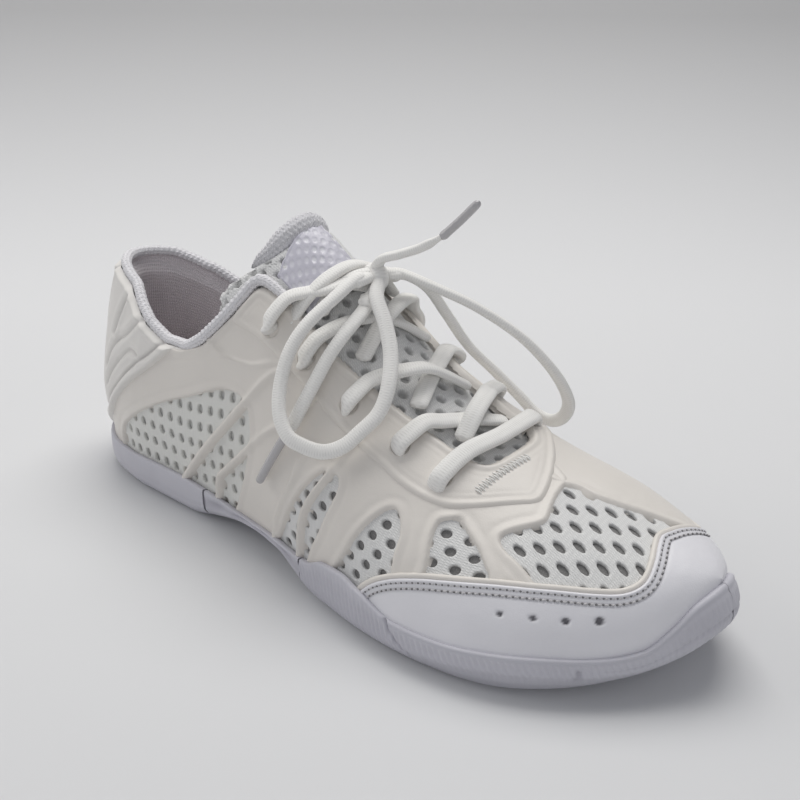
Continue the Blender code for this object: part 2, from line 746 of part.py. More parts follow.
# ---------------------------------------------------------------- laces
EYELET_X = {-1: (49.2, 34.0, 15.0, -2.0, -17.0), 1: (51.5, 36.0, 18.0, 1.0, -14.0)}
EYELET_RISE = {-1: (58, 57, 53, 49, 46), 1: (72, 65, 56, 48, 46)}
LACE_OVER = -3.2          # depth of a lace's middle where it crosses over the eyestay
LACE_REST = -0.2          # where it lies on the tongue
LACE_RISE = 6.9           # how much higher it runs over another lace
KNOT = Vector((4.5, 2.0, 92.5))


def lace_place(x, angle, depth):
    """A point over the throat; angle runs across from 0 laterally to 180 medially."""
    return place(turn_at(x), -1, angle, depth)


def across(side, rise):
    return rise if side < 0 else 180 - rise


def crossing(side, row, high):
    """One lace from under a side's edge to the eyelet of the next row on the other side."""
    start_x = EYELET_X[side][row] - (2.0 if row == 3 else 3.5)
    start = across(side, TOP_RISE[side](start_x) + 7.0)
    end_x = EYELET_X[-side][row + 1]
    end = across(-side, TOP_RISE[-side](end_x) + 2.0)
    rest = LACE_REST - (0.8 if row == 3 else 0.0)
    lift = (0, 0.8 if row == 0 else 0.5, 1, 1, 0.8, 0.5) if high else (0, 0, 0.04, 0.04, 0.2, 0.55)
    points = []
    for share, rise in zip((0, 0.25, 0.45, 0.6, 0.8, 1), lift):
        x = start_x + (end_x + 1.8 - start_x) * share
        points.append(lace_place(x, start + (end - start) * share, rest - LACE_RISE * rise))
    eyelet = EYELET_RISE[-side][row + 1]
    points.append(lace_place(end_x + 0.8, across(-side, eyelet + 5.0), LACE_OVER - 0.4))
    points.append(lace_place(end_x, across(-side, eyelet), LACE_OVER))
    return points


def front_bar():
    """The lace across the throat's front, from eyelet to eyelet over the eyestays."""
    points = []
    for side, order in ((-1, 1), (1, -1)):
        x, rise = EYELET_X[side][0], EYELET_RISE[side][0]
        half = [lace_place(x, across(side, rise), LACE_OVER),
                lace_place(x + 1, across(side, TOP_RISE[side](x) + 1), LACE_OVER)]
        points += half[::order] if side < 0 else [lace_place(52.5, 84, -1.6)] + half[::order]
    return points


def to_knot(side, start_x, knot_point):
    """The top laces, from under the eyestay's edge over the last crossing to the knot."""
    edge = TOP_RISE[side](start_x)
    return [
        lace_place(start_x, across(side, edge + 6.5), LACE_REST),
        lace_place(start_x + 2.5, across(side, edge + 12), -6.4),
        lace_place(start_x + 6.5, across(side, edge + 19), -8.3),
        Vector(knot_point)]


def build_laces():
    lace = material("lace_weave", (0.90, 0.89, 0.86), 0.85)
    tip = material("aglet_plastic", (0.62, 0.63, 0.66), 0.3)
    tube("lace_bar", smooth_route(front_bar(), 5), LACE_RADIUS, lace)
    for row in range(4):
        high_side = 1 if row % 2 else -1
        for side, name in ((-1, "lateral"), (1, "medial")):
            route = smooth_route(crossing(side, row, side == high_side), 5)
            tube("lace_cross_{}_{}".format(name, row + 1), route, LACE_RADIUS, lace)
    tube("lace_top_lateral", smooth_route(to_knot(-1, -11, (-0.6, -5.4, 92.3)), 5), LACE_RADIUS, lace)
    tube("lace_top_medial", smooth_route(to_knot(1, -8, (3.2, 10.6, 91.8)), 5), LACE_RADIUS, lace)

    ellipsoid("lace_knot", KNOT, (6.5, 5.2, 4.2), (0.35, 1, 0.1), lace)
    tube("lace_loop_lateral", smooth_route(LATERAL_LOOP, 7), LACE_RADIUS, lace)
    tube("lace_loop_medial", smooth_route(MEDIAL_LOOP, 7), LACE_RADIUS, lace)
    tube("lace_end_lateral", smooth_route(LATERAL_END, 7), LACE_RADIUS, lace)
    tube("lace_end_medial", smooth_route(MEDIAL_END, 7), LACE_RADIUS, lace)
    tube("aglet_lateral", smooth_route(LATERAL_AGLET, 6), AGLET_RADIUS, tip)
    tube("aglet_medial", smooth_route(MEDIAL_AGLET, 6), AGLET_RADIUS, tip)


LATERAL_LOOP = [
    (5.0, -7.5, 94.2), (4.0, -16.0, 89.8), (0.5, -24.0, 83.0), (-2.0, -29.0, 75.5), (-2.6, -32.7, 66.5),
    (0.4, -36.7, 58.5), (5.6, -38.6, 53.0), (11.0, -37.5, 50.8), (17.0, -35.3, 50.0),
    (21.8, -32.0, 52.0), (25.0, -28.0, 56.2), (28.5, -23.5, 62.0), (28.2, -19.0, 69.0),
    (24.2, -13.5, 76.5), (18.5, -9.5, 83.5), (12.0, -6.0, 89.5)]
MEDIAL_LOOP = [
    (9.5, 8.0, 93.5), (19.4, 12.5, 90.0), (30.6, 20.0, 84.0), (41.8, 28.0, 75.1), (52.0, 36.0, 62.4),
    (53.0, 40.0, 51.4), (48.6, 42.5, 42.5), (43.0, 43.5, 42.0), (35.0, 41.0, 48.5),
    (27.1, 36.5, 56.5), (20.3, 30.0, 66.5), (17.0, 22.6, 78.0), (15.0, 15.5, 87.6), (11.0, 9.5, 92.6)]
LATERAL_END = [
    (8.5, -7.0, 86.0), (10.0, -13.0, 83.5), (9.8, -19.0, 79.5), (7.8, -23.2, 73.5), (6.0, -27.3, 66.3),
    (4.0, -30.9, 59.2), (2.0, -33.0, 53.5), (0.4, -34.2, 50.0)]
LATERAL_AGLET = [(-0.2, -34.6, 49.0), (-5.6, -35.7, 40.0), (-10.6, -36.1, 31.6)]
MEDIAL_END = [(7.6, 1.4, 98.9), (14.0, 2.6, 101.4), (21.0, 4.0, 104.4), (28.3, 5.0, 108.9)]
MEDIAL_AGLET = [(28.9, 5.1, 109.4), (34.0, 5.6, 114.2), (39.2, 6.0, 119.5)]


def build():
    clear_scene()
    build_sole()
    build_forefoot_upper()
    build_quarters()
    build_heel()
    build_tongue()
    build_laces()
    lift = bpy.data.objects.new("sockliner_hinge", None)
    bpy.context.scene.collection.objects.link(lift)
    lift.location = SOCKLINER_HINGE * MM
    hang_on(lift, [bpy.data.objects["sockliner"]])


build()
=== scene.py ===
"""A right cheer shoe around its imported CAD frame: the surfaces, soft pieces, laces, camera and light.

Most pieces lie on one smooth surface, the skin of the upper. A place on it has a turn (0 at the heel,
1 at the toe), an angle (0 at the sole on the lateral side, 90 on the ridge, 180 at the sole on the medial
side) and a depth under it. Lengths are millimetres until a mesh is made."""
import json
import math

import bmesh
import bpy
import numpy as np
from mathutils import Matrix, Vector


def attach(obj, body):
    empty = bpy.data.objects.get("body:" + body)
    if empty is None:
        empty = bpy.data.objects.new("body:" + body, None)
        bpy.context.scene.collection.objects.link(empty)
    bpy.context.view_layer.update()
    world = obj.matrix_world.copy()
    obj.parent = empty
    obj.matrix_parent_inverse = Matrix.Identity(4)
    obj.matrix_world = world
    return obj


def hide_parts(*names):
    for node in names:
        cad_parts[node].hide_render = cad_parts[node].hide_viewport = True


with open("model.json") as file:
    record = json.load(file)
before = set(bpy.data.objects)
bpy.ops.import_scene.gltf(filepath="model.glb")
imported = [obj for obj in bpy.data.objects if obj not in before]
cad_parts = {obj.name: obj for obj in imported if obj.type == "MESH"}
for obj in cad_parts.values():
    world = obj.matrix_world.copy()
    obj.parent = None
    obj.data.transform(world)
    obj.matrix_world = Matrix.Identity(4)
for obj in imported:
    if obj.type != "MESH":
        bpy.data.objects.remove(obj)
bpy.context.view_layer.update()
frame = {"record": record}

MM = 0.001
HALF = 127.5
CHART_HALF = 127.4999      # charts stop just short of the tips, where the skin has no width


# ---------------------------------------------------------------- the skin
class Profile:
    """A smooth curve through a few (place, value) points that never overshoots them, for arrays."""

    def __init__(self, *points):
        self.at = np.array([p[0] for p in points], float)
        self.value = np.array([p[1] for p in points], float)
        width = np.diff(self.at)
        slope = np.diff(self.value) / width
        before, after = slope[:-1], slope[1:]
        w1, w2 = 2 * width[1:] + width[:-1], width[1:] + 2 * width[:-1]
        flat = before * after <= 0
        safe_before, safe_after = np.where(flat, 1, before), np.where(flat, 1, after)
        middle = np.where(flat, 0, (w1 + w2) / (w1 / safe_before + w2 / safe_after))
        self.slope = np.concatenate(([slope[0]], middle, [slope[-1]]))

    def __call__(self, place):
        place = np.clip(place, self.at[0], self.at[-1])
        i = np.clip(np.searchsorted(self.at, place, side="left") - 1, 0, len(self.at) - 2)
        width = self.at[i + 1] - self.at[i]
        t = (place - self.at[i]) / width
        from_left = self.value[i] * (1 + 2 * t) + width * self.slope[i] * t
        from_right = self.value[i + 1] * (3 - 2 * t) + width * self.slope[i + 1] * (t - 1)
        return from_left * (1 - t) ** 2 + from_right * t ** 2


def turn_at(x):
    return np.arccos(np.clip(-np.asarray(x, float) / HALF, -1, 1)) / np.pi


def x_at(turn):
    return -HALF * np.cos(np.pi * turn)


def outline(*points):
    """A sole outline, given as (x, y) points and read by turn, so that its ends come out round."""
    return Profile(*[(float(turn_at(x)), y) for x, y in points])


LATERAL_EDGE = outline(
    (-127.5, 0), (-122, -14.5), (-112, -23.5), (-100, -28), (-85, -30.5), (-60, -31), (-35, -32),
    (-10, -35), (20, -41.5), (40, -45), (55, -46), (70, -44.5), (85, -40), (100, -31), (112, -20),
    (120, -9.5), (125, -1), (127.5, 9))
MEDIAL_EDGE = outline(
    (-127.5, 0), (-122, 14.5), (-112, 23.5), (-100, 28), (-85, 30), (-60, 28.5), (-35, 27.5),
    (-10, 30), (20, 38), (40, 43), (55, 45.5), (70, 46), (85, 44.5), (100, 40), (112, 33.5),
    (120, 26.5), (125, 19), (127.5, 9))
UNDERSIDE_Z = Profile(
    (-127.5, 4.4), (-119, 1.2), (-110, 0), (-55, 0), (-44, 2.5), (-30, 6.3), (-17, 8.2), (-5, 6.8),
    (5, 2.5), (12, 0), (80, 0), (92, 1), (105, 3.2), (115, 6.5), (122, 10), (127.5, 14))
EDGE_Z = Profile(
    (-127.5, 7.5), (-118, 3.5), (-105, 2.6), (-57, 2.6), (-42, 6), (-17, 9.2), (-5, 8.2), (8, 4),
    (18, 2.6), (45, 3.2), (60, 4.4), (75, 6), (90, 7.3), (105, 8), (115, 9.5), (122, 12.5),
    (127.5, 17))
FEATHER_Z = Profile(
    (-127.5, 15), (-110, 13), (-72, 14), (-60, 14), (-43, 13), (-28, 11.9), (-12, 11.6), (4, 11.4),
    (12, 12.2), (20, 16), (30, 17), (38, 15.5), (52, 12), (65, 12), (80, 13), (92, 14),
    (108, 14.5), (115, 16), (120, 21), (124, 26.3), (127.5, 29))
FLOOR_Z = Profile(
    (-127.5, 8), (-110, 6.5), (-60, 6.5), (-35, 9.4), (-17, 10.6), (0, 9.6), (15, 7.2), (30, 6.5),
    (62, 6.6), (75, 7.3), (90, 8.3), (105, 9.1), (113, 10.8), (120, 13.6), (127.5, 18.4))
RIDGE_Y = Profile((-127.5, 0), (-60, 2), (-20, 3), (20, 5), (50, 8), (80, 11), (100, 12), (127.5, 9))
RIDGE_Z = Profile(
    (-127.5, 106), (-100, 106), (-80, 108), (-60, 111), (-45, 112), (-30, 110), (-20, 105.5),
    (-10, 98), (0, 88.5), (10, 78.5), (20, 69.5), (30, 63), (40, 57.5), (55, 51), (70, 46),
    (85, 42.5), (100, 38.5), (110, 36), (118, 34), (124, 32.5), (127.5, 31))
FULLNESS = {
    -1: Profile((-127.5, 2.3), (-60, 2.2), (-20, 1.95), (50, 1.9), (80, 2.0), (127.5, 2.3)),
    1: Profile((-127.5, 2.3), (-60, 2.2), (-20, 2.1), (10, 2.3), (50, 2.3), (80, 2.4), (127.5, 2.3))}
COLLAR_LOW = 29.0
COLLAR = ((-127.5, 43.5), (-118, 43.5), (-108, 42), (-98, 40), (-87, 35.5), (-75, 31),
          (-66, COLLAR_LOW), (-59, COLLAR_LOW), (-48, 32), (-41.7, 36), (-35.8, 41), (-30, 47))
TOP_RISE = {
    -1: Profile(*COLLAR, (-25.5, 52.5), (-18, 53.5), (-9, 55), (4, 58), (20, 64), (37, 67),
                (50, 68.5), (57, 70)),
    1: Profile(*COLLAR, (-25.5, 52), (-14, 55), (0, 59), (18, 69), (35, 75), (50, 79), (57, 80))}
CLIP_BAND_Z = Profile((-127.5, 17), (-109, 20.5), (-104, 26), (-91, 38.7), (-74, 51), (-62, 60.5))
TONGUE_TOP_X = Profile((41, -45), (46, -43.5), (50, -38.5), (56, -32), (62, -26.3), (71, -22),
                       (79, -20.2), (90, -19))
TONGUE_SIDE_RISE = {
    -1: Profile((0, 42), (0.3, 42), (0.6, 48), (1, 58)),
    1: Profile((0, 42), (0.3, 43), (0.6, 55), (1, 70))}
LOW_CLEAR = 0.4           # the upper stands this far above the footbed's floor
TUCK, TOE_TUCK = 1.6, 0.5


def ramp(value, start, end):
    t = np.clip((np.asarray(value, float) - start) / (end - start), 0, 1)
    return t * t * (3 - 2 * t)


def low_z(x):
    return FLOOR_Z(x) + LOW_CLEAR


def fold(turn, angle):
    """Brings a place that runs past the heel or the toe back, and tells which side it is on."""
    turn, angle = np.broadcast_arrays(np.asarray(turn, float), np.asarray(angle, float))
    past = (turn < 0) | (turn > 1)
    turn = np.where(turn < 0, -turn, np.where(turn > 1, 2 - turn, turn))
    angle = np.where(past, 180 - angle, angle)
    return turn, angle, angle > 90


def skin(turn, angle):
    turn, angle, medial = fold(turn, angle)
    rise = np.radians(np.clip(np.where(medial, 180 - angle, angle), 0, 90))
    x = x_at(turn)
    edge = np.where(medial, MEDIAL_EDGE(turn), LATERAL_EDGE(turn))
    power = 2 / np.where(medial, FULLNESS[1](x), FULLNESS[-1](x))
    z = low_z(x) + (RIDGE_Z(x) - low_z(x)) * np.sin(rise) ** power
    ridge = RIDGE_Y(x)
    pinch = 1 - 0.38 * np.clip((-80 - x) / 40, 0, 0.45) * np.clip((z - 35) / 45, 0, 1.3)
    y = ridge + (edge - ridge) * np.clip(np.cos(rise), 0, 1) ** power * pinch
    back = np.clip((-70 - x) / 57.5, 0, 1) ** 2
    front = np.clip((x - 100) / 27.5, 0, 1) ** 2
    lean = 8.5 * np.clip((z - 35) / 45, 0, 2) ** 1.6
    return np.stack([x + back * (lean + 0.4) - front * 0.24 * np.maximum(z - 16, 0), y, z], -1)


def unit(vectors):
    return vectors / np.maximum(np.linalg.norm(vectors, axis=-1, keepdims=True), 1e-12)


def outward(turn, angle):
    turn, angle = np.broadcast_arrays(np.asarray(turn, float), np.asarray(angle, float))
    along = skin(turn + 0.004, angle) - skin(turn - 0.004, angle)
    up = skin(turn, np.minimum(angle + 0.6, 180)) - skin(turn, np.maximum(angle - 0.6, 0))
    normal = unit(np.cross(along, up))
    nose = ((turn > 0.985) & (np.abs(angle - 90) < 5))[..., None]
    return np.where(nose, unit(np.array([1.0, 0, 1.0])), normal)


def summed(steps, axis=-1):
    """Running totals along an axis, which start at zero."""
    none = np.zeros_like(np.take(steps, [0], axis))
    return np.concatenate((none, np.cumsum(steps, axis)), axis)


def gaps(points, axis):
    """Distances between neighbours in a line or grid of points."""
    return np.linalg.norm(np.diff(points, axis=axis), axis=-1)


def travelled(points):
    """The distance along a line at each of its points."""
    return summed(gaps(points, 0))


def place(turn, angle, depth=0.0):
    """Points at some depth under the skin. Near the sole the whole wall tucks in behind the rim."""
    point = skin(turn, angle)
    over = point[..., 2] - FEATHER_Z(point[..., 0])
    tuck = TUCK * (1 - ramp(over, 0, 22))
    tuck = tuck + TOE_TUCK * ramp(point[..., 0], 100, 118) * (1 - ramp(over, 0, 8))
    return point - outward(turn, angle) * (depth + tuck)[..., None]


def angle_at(x, z, medial=False):
    """The angle at which the skin over x reaches a height."""
    reach = np.clip((z - low_z(x)) / (RIDGE_Z(x) - low_z(x)), 0, 1)
    rise = np.degrees(np.arcsin(reach ** (FULLNESS[1 if medial else -1](x) / 2)))
    return 180 - rise if medial else rise


class Girth:
    """Distances round the skin's cross-sections, from one side's sole edge, and back to angles."""

    def __init__(self, medial=False):
        self.medial = medial
        self.turns = np.linspace(0, 1, 121)
        self.angles = np.linspace(0, 180, 181)
        angles = 180 - self.angles if medial else self.angles
        points = place(self.turns[:, None], angles[None, :])
        self.length = summed(gaps(points, 1))
        self.ridge = self.length[:, 90]

    def angle(self, turn, reach, from_ridge):
        """The angles at some distances from the sole edge, or from the ridge."""
        turn, reach = np.broadcast_arrays(turn, reach)
        flat_turn = np.clip(turn.ravel(), 0, 1) * 120
        flat_reach = reach.ravel()
        lower = np.minimum(flat_turn.astype(int), 119)
        share = flat_turn - lower
        found = np.zeros(len(lower))
        for station in np.unique(lower):
            here = lower == station
            ends = []
            for i in (station, station + 1):
                start = self.ridge[i] if from_ridge else 0.0
                ends.append(np.interp(flat_reach[here] + start, self.length[i], self.angles))
            found[here] = ends[0] * (1 - share[here]) + ends[1] * share[here]
        found = found.reshape(turn.shape)
        return 180 - found if self.medial else found


GIRTHS = {-1: Girth(), 1: Girth(medial=True)}


# ---------------------------------------------------------------- lines drawn on the skin
def smooth(points, closed=False, steps=8):
    """A curve through the points, as an array of closer points."""
    p = np.array(points, float)
    if closed:
        p = np.vstack((p[-1], p, p[:2]))
    else:
        p = np.vstack((2 * p[0] - p[1], p, 2 * p[-1] - p[-2]))
    t = (np.arange(steps) / steps)[:, None]
    parts = []
    for a, b, c, d in zip(p, p[1:], p[2:], p[3:]):
        parts.append(0.5 * (2 * b + (c - a) * t + (2 * a - 5 * b + 4 * c - d) * t ** 2
                            + (3 * b - a - 3 * c + d) * t ** 3))
    if not closed:
        parts.append(p[-2:-1])
    return np.vstack(parts)


FAR = 9.0                 # distances to lines are only worked out this far


class Line:
    """A line or closed outline on the skin, through an array of close (turn, angle) spots."""

    def __init__(self, flat, closed=False):
        self.flat = flat
        path = np.vstack((flat, flat[:1])) if closed else flat
        self.points = place(path[:, 0], path[:, 1])

    def distance(self, points):
        """How far points are from the line, up to FAR."""
        shape = points.shape[:-1]
        points = points.reshape(-1, 3)
        low, high = self.points.min(0) - FAR, self.points.max(0) + FAR
        near = np.all((points > low) & (points < high), axis=1)
        found = np.full(len(points), FAR)
        close = points[near]
        best = np.full(len(close), FAR)
        for a, b in zip(self.points, self.points[1:]):
            ab = b - a
            t = np.clip((close - a) @ ab / max(ab @ ab, 1e-9), 0, 1)
            best = np.minimum(best, np.linalg.norm(close - a - t[:, None] * ab, axis=1))
        found[near] = best
        return found.reshape(shape)

    def inside(self, turn, angle):
        """Whether places lie inside a closed outline."""
        hit = np.zeros(np.shape(turn), bool)
        ends = np.roll(self.flat, -1, axis=0)
        for (t0, a0), (t1, a1) in zip(self.flat, ends):
            if a0 == a1:
                continue
            spans = (a0 > angle) != (a1 > angle)
            hit ^= spans & (turn < (t1 - t0) * (angle - a0) / (a1 - a0) + t0)
        return hit

    def signed(self, points, turn, angle):
        """Distance to a closed outline, negative inside it."""
        return np.where(self.inside(turn, angle), -1, 1) * self.distance(points)


def drawn(spots, closed=False, steps=8):
    """A smooth line through a few (x, angle) spots, or a straight one if steps is 0."""
    flat = [(float(turn_at(x)), angle) for x, angle in spots]
    return Line(smooth(flat, closed, steps) if steps else np.array(flat), closed)


def across(side, rise):
    """The angle of a rise on one side: -1 is lateral, 1 is medial."""
    return rise if side < 0 else 180 - rise


def on_side(side, spots):
    """(x, rise) spots as (x, angle) ones on one side."""
    return [(x, across(side, rise)) for x, rise in spots]


# ---------------------------------------------------------------- meshes
def make_object(name, points, faces, look, uv=None, tone=None):
    """A smooth mesh from points in millimetres. uv is per point, in millimetres; tone is 0 to 1."""
    mesh = bpy.data.meshes.new(name)
    mesh.from_pydata((np.asarray(points) * MM).tolist(), [], [tuple(int(i) for i in f) for f in faces])
    mesh.update()
    corner = np.zeros(len(mesh.loops), np.int32)
    mesh.loops.foreach_get("vertex_index", corner)
    if uv is not None:
        layer = mesh.uv_layers.new(name="pattern")
        layer.data.foreach_set("uv", np.asarray(uv, np.float32)[corner].ravel())
    if tone is not None:
        layer = mesh.attributes.new("tone", "FLOAT", "POINT")
        layer.data.foreach_set("value", np.asarray(tone, np.float32).ravel())
    mesh.shade_smooth()
    mesh.materials.append(look)
    made = bpy.data.objects.new(name, mesh)
    bpy.context.scene.collection.objects.link(made)
    return made


def wear(made, slot, *nodes, body="shoe"):
    """Puts a piece on a body in place of some CAD nodes, which it hides. slot is not used."""
    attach(made, body)
    if nodes:
        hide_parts(*nodes)


def cells(grid):
    """The four corner values of every cell of a grid, in order round the cell."""
    return np.stack((grid[:-1, :-1], grid[1:, :-1], grid[1:, 1:], grid[:-1, 1:]), -1).reshape(-1, 4)


def grid_faces(rows, columns, keep=None, flip=False):
    """Faces between the points of a grid. keep, if given, says which points belong."""
    faces = cells(np.arange(rows * columns).reshape(rows, columns))
    if keep is not None:
        faces = faces[cells(keep).all(axis=1)]
    return faces[:, ::-1] if flip else faces


def tube_faces(rows, around, first=0):
    """Faces round a tube of rings, with its two tips filled. first is its first point's number."""
    number = first + np.arange(rows * around).reshape(rows, around)
    faces = cells(np.hstack((number, number[:, :1])))[:, ::-1].tolist()
    return faces + [number[0].tolist(), number[-1][::-1].tolist()]


def surface(name, points, look, keep=None, tone=None, flip=False):
    """A mesh from a grid of points, with its pattern coordinates measured along its rows."""
    rows, columns = points.shape[:2]
    u, v = summed(gaps(points, 0).mean(1)), summed(gaps(points, 1).mean(0))
    uv = np.stack(np.meshgrid(u, v, indexing="ij"), -1).reshape(-1, 2)
    used, faces = np.unique(grid_faces(rows, columns, keep, flip), return_inverse=True)
    flat_tone = None if tone is None else tone.ravel()[used]
    return make_object(name, points.reshape(-1, 3)[used], faces.reshape(-1, 4), look, uv[used], flat_tone)


def level(angle):
    """An angle limit that is the same at every x."""
    return lambda x: angle + 0 * x


def chart(x_start, x_end, low, high, pitch):
    """A grid of turns and angles between two angle limits, given as functions of x."""
    return chart_turns(float(turn_at(x_start)), float(turn_at(x_end)), low, high, pitch)


def chart_turns(t0, t1, low, high, pitch):
    """The same between two turns, which may run past the heel."""
    turns = np.linspace(t0, t1, 40)
    x = x_at(np.abs(turns))
    middle = place(turns, (low(x) + high(x)) / 2)
    along = gaps(middle, 0).sum()
    rows = int(along / pitch)
    share = np.linspace(0, 1, 12)
    spots = low(x)[:, None] + (high(x) - low(x))[:, None] * share
    section = place(turns[:, None], spots)
    across = gaps(section, 1).sum(1).max()
    columns = int(across / pitch)
    turns = np.linspace(t0, t1, rows)
    x = x_at(np.abs(turns))
    share = np.linspace(0, 1, columns)
    angles = low(x)[:, None] + (high(x) - low(x))[:, None] * share
    return np.repeat(turns[:, None], columns, axis=1), angles


def bell(distance, width):
    return np.exp(-(distance / width) ** 2)


# ---------------------------------------------------------------- materials
class Look:
    """A node material: a Principled shader whose colour and normal are built up step by step."""

    def __init__(self, name, colour, roughness, **sockets):
        self.made = bpy.data.materials.new(name)
        self.made.use_nodes = True
        self.tree = self.made.node_tree
        self.shader = self.tree.nodes["Principled BSDF"]
        self.shader.inputs["Base Color"].default_value = (*colour, 1)
        self.shader.inputs["Roughness"].default_value = roughness
        for socket, value in sockets.items():
            self.shader.inputs[socket.replace("_", " ")].default_value = value
        self.colour = None
        self.base = (*colour, 1)
        self.normal = None

    def node(self, kind, *inputs, **settings):
        made = self.tree.nodes.new("ShaderNode" + kind)
        for key, value in settings.items():
            setattr(made, key, value)
        for i, value in enumerate(inputs):
            self.put(made.inputs[i], value)
        return made

    def put(self, socket, value):
        if value is None:
            return
        if isinstance(value, bpy.types.NodeSocket):
            self.tree.links.new(value, socket)
        else:
            socket.default_value = value

    def math(self, operation, *inputs):
        return self.node("Math", *inputs, operation=operation).outputs[0]

    def position(self):
        return self.node("TexCoord").outputs["Object"]

    def pattern(self):
        """The pattern coordinates, in millimetres along and across."""
        split = self.node("SeparateXYZ", self.node("UVMap", uv_map="pattern").outputs[0])
        return split.outputs[0], split.outputs[1]

    def noise(self, per_mm, detail):
        made = self.node("TexNoise")
        self.put(made.inputs["Vector"], self.position())
        made.inputs["Scale"].default_value = per_mm / MM
        made.inputs["Detail"].default_value = detail
        return made.outputs["Fac"]

    def wave(self, distance, period):
        """0 to 1 and back, once per period."""
        turned = self.math("MULTIPLY", distance, math.tau / period)
        return self.math("MULTIPLY_ADD", self.math("SINE", turned), 0.5, 0.5)

    def tint(self, amount, colour):
        """Mixes a colour in, by an amount from a socket."""
        mix = self.node("Mix", data_type="RGBA")
        self.put(mix.inputs[0], amount)
        self.put(mix.inputs[6], self.colour or self.base)
        self.put(mix.inputs[7], (*colour, 1))
        self.colour = mix.outputs[2]

    def bump(self, height, depth_mm):
        made = self.node("Bump")
        made.inputs["Strength"].default_value = 1.0
        made.inputs["Distance"].default_value = depth_mm * MM
        self.put(made.inputs["Height"], height)
        self.put(made.inputs["Normal"], self.normal)
        self.normal = made.outputs[0]

    def tone(self):
        return self.node("Attribute", attribute_name="tone").outputs["Fac"]

    def done(self):
        self.put(self.shader.inputs["Base Color"], self.colour)
        self.put(self.shader.inputs["Normal"], self.normal)
        return self.made


def synthetic(name, colour, roughness, shade):
    """A smooth bonded film: faint grain, slight mottling, and, by the tone attribute, painted shade where
    its relief is deep.
    """
    look = Look(name, colour, roughness, Specular_IOR_Level=0.4)
    mottle = look.node("MapRange", look.noise(0.05, 3), 0.35, 0.7, 0.0, 0.5).outputs[0]
    look.tint(mottle, tuple(c * 0.955 for c in colour))
    # painted shade in edges, grooves and holes, by the tone attribute; the tongue patch's shade colour is
    # lighter, for its dimples
    look.tint(look.tone(), shade)
    look.bump(look.noise(2.6, 3), 0.05)
    look.bump(look.noise(0.16, 2), 0.25)
    return look.done()


def knit(name, colour, shade, wale, course, depth, slant=0.0, toned=None):
    """A knitted surface: wales along and courses across, with fuzz."""
    look = Look(name, colour, 0.9, Sheen_Weight=0.25, Sheen_Roughness=0.5, Specular_IOR_Level=0.2)
    along, across = look.pattern()
    zigzag = look.math("ABSOLUTE", look.math("SUBTRACT", look.wave(across, wale * 2), 0.5))
    shifted = look.math("MULTIPLY_ADD", zigzag, course * 2 * slant, along)
    stitch = look.math("MULTIPLY", look.wave(shifted, course), look.wave(across, wale))
    # painted shade: darker between the stitches' loops, where shade falls in the knit
    look.tint(look.math("MULTIPLY", look.math("SUBTRACT", 1.0, stitch), 0.36), shade)
    look.tint(look.math("MULTIPLY", look.noise(0.12, 2), 0.3), shade)
    # painted shade: the tone attribute darkens the knit down the walls of its holes, and on the backing
    # makes its painted shade paler towards the heel
    look.tint(look.tone(), toned or shade)
    look.bump(stitch, depth)
    look.bump(look.noise(3.5, 2), 0.1)
    return look.done()


def braid(name, colour, shade, period, turns):
    """A flat braid: two sets of strands that cross, read from the pattern coordinates."""
    look = Look(name, colour, 0.85, Sheen_Weight=0.3, Sheen_Roughness=0.4, Specular_IOR_Level=0.25)
    along, around = look.pattern()
    left = look.wave(look.math("MULTIPLY_ADD", around, turns, along), period)
    right = look.wave(look.math("MULTIPLY_ADD", around, -turns, along), period)
    strand = look.math("MAXIMUM", left, right)
    # painted shade: darker between the crossing strands
    look.tint(look.math("MULTIPLY", look.math("SUBTRACT", 1.0, strand), 0.4), shade)
    look.tint(look.math("MULTIPLY", look.noise(0.2, 2), 0.2), shade)
    look.bump(strand, 0.07)
    look.bump(look.noise(4.0, 2), 0.08)
    return look.done()


def moulded(name, colour, roughness, shade, grain=0.04):
    look = Look(name, colour, roughness, Specular_IOR_Level=0.4)
    dust = look.node("MapRange", look.noise(0.05, 4), 0.45, 0.75, 0.0, 0.18).outputs[0]
    look.tint(dust, shade)
    # painted shade: the tone attribute darkens cut-back relief towards the shade colour
    look.tint(look.tone(), shade)
    look.bump(look.noise(1.8, 3), grain)
    return look.done()


WARM, WARM_SHADE = (0.75, 0.715, 0.67), (0.52, 0.49, 0.455)
# COOL, the sole colour, is made darker as painted shade, since the sole faces down away from the light
COOL, COOL_SHADE = (0.565, 0.56, 0.61), (0.35, 0.34, 0.39)
film_look = synthetic("overlay_synthetic_look", WARM, 0.42, WARM_SHADE)
clip_look = synthetic("heel_clip_look", (0.78, 0.76, 0.73), 0.45, (0.52, 0.50, 0.49))
cap_look = synthetic("toe_cap_look", (0.79, 0.785, 0.82), 0.38, (0.16, 0.155, 0.17))
mesh_look = knit("spacer_mesh_look", (0.90, 0.90, 0.89), (0.50, 0.50, 0.495), 0.75, 1.5, 0.12, 0.5)
# painted light: the tongue's copy of the spacer mesh is made brighter to lift it out of the shade of the
# laces
tongue_lit_look = knit("tongue_mesh_look", (0.93, 0.93, 0.925), (0.46, 0.46, 0.455), 0.8, 1.6, 0.12, 0.5)
veiled_look = knit("veiled_mesh_look", (0.84, 0.84, 0.81), (0.60, 0.60, 0.57), 0.75, 1.5, 0.08, 0.5)
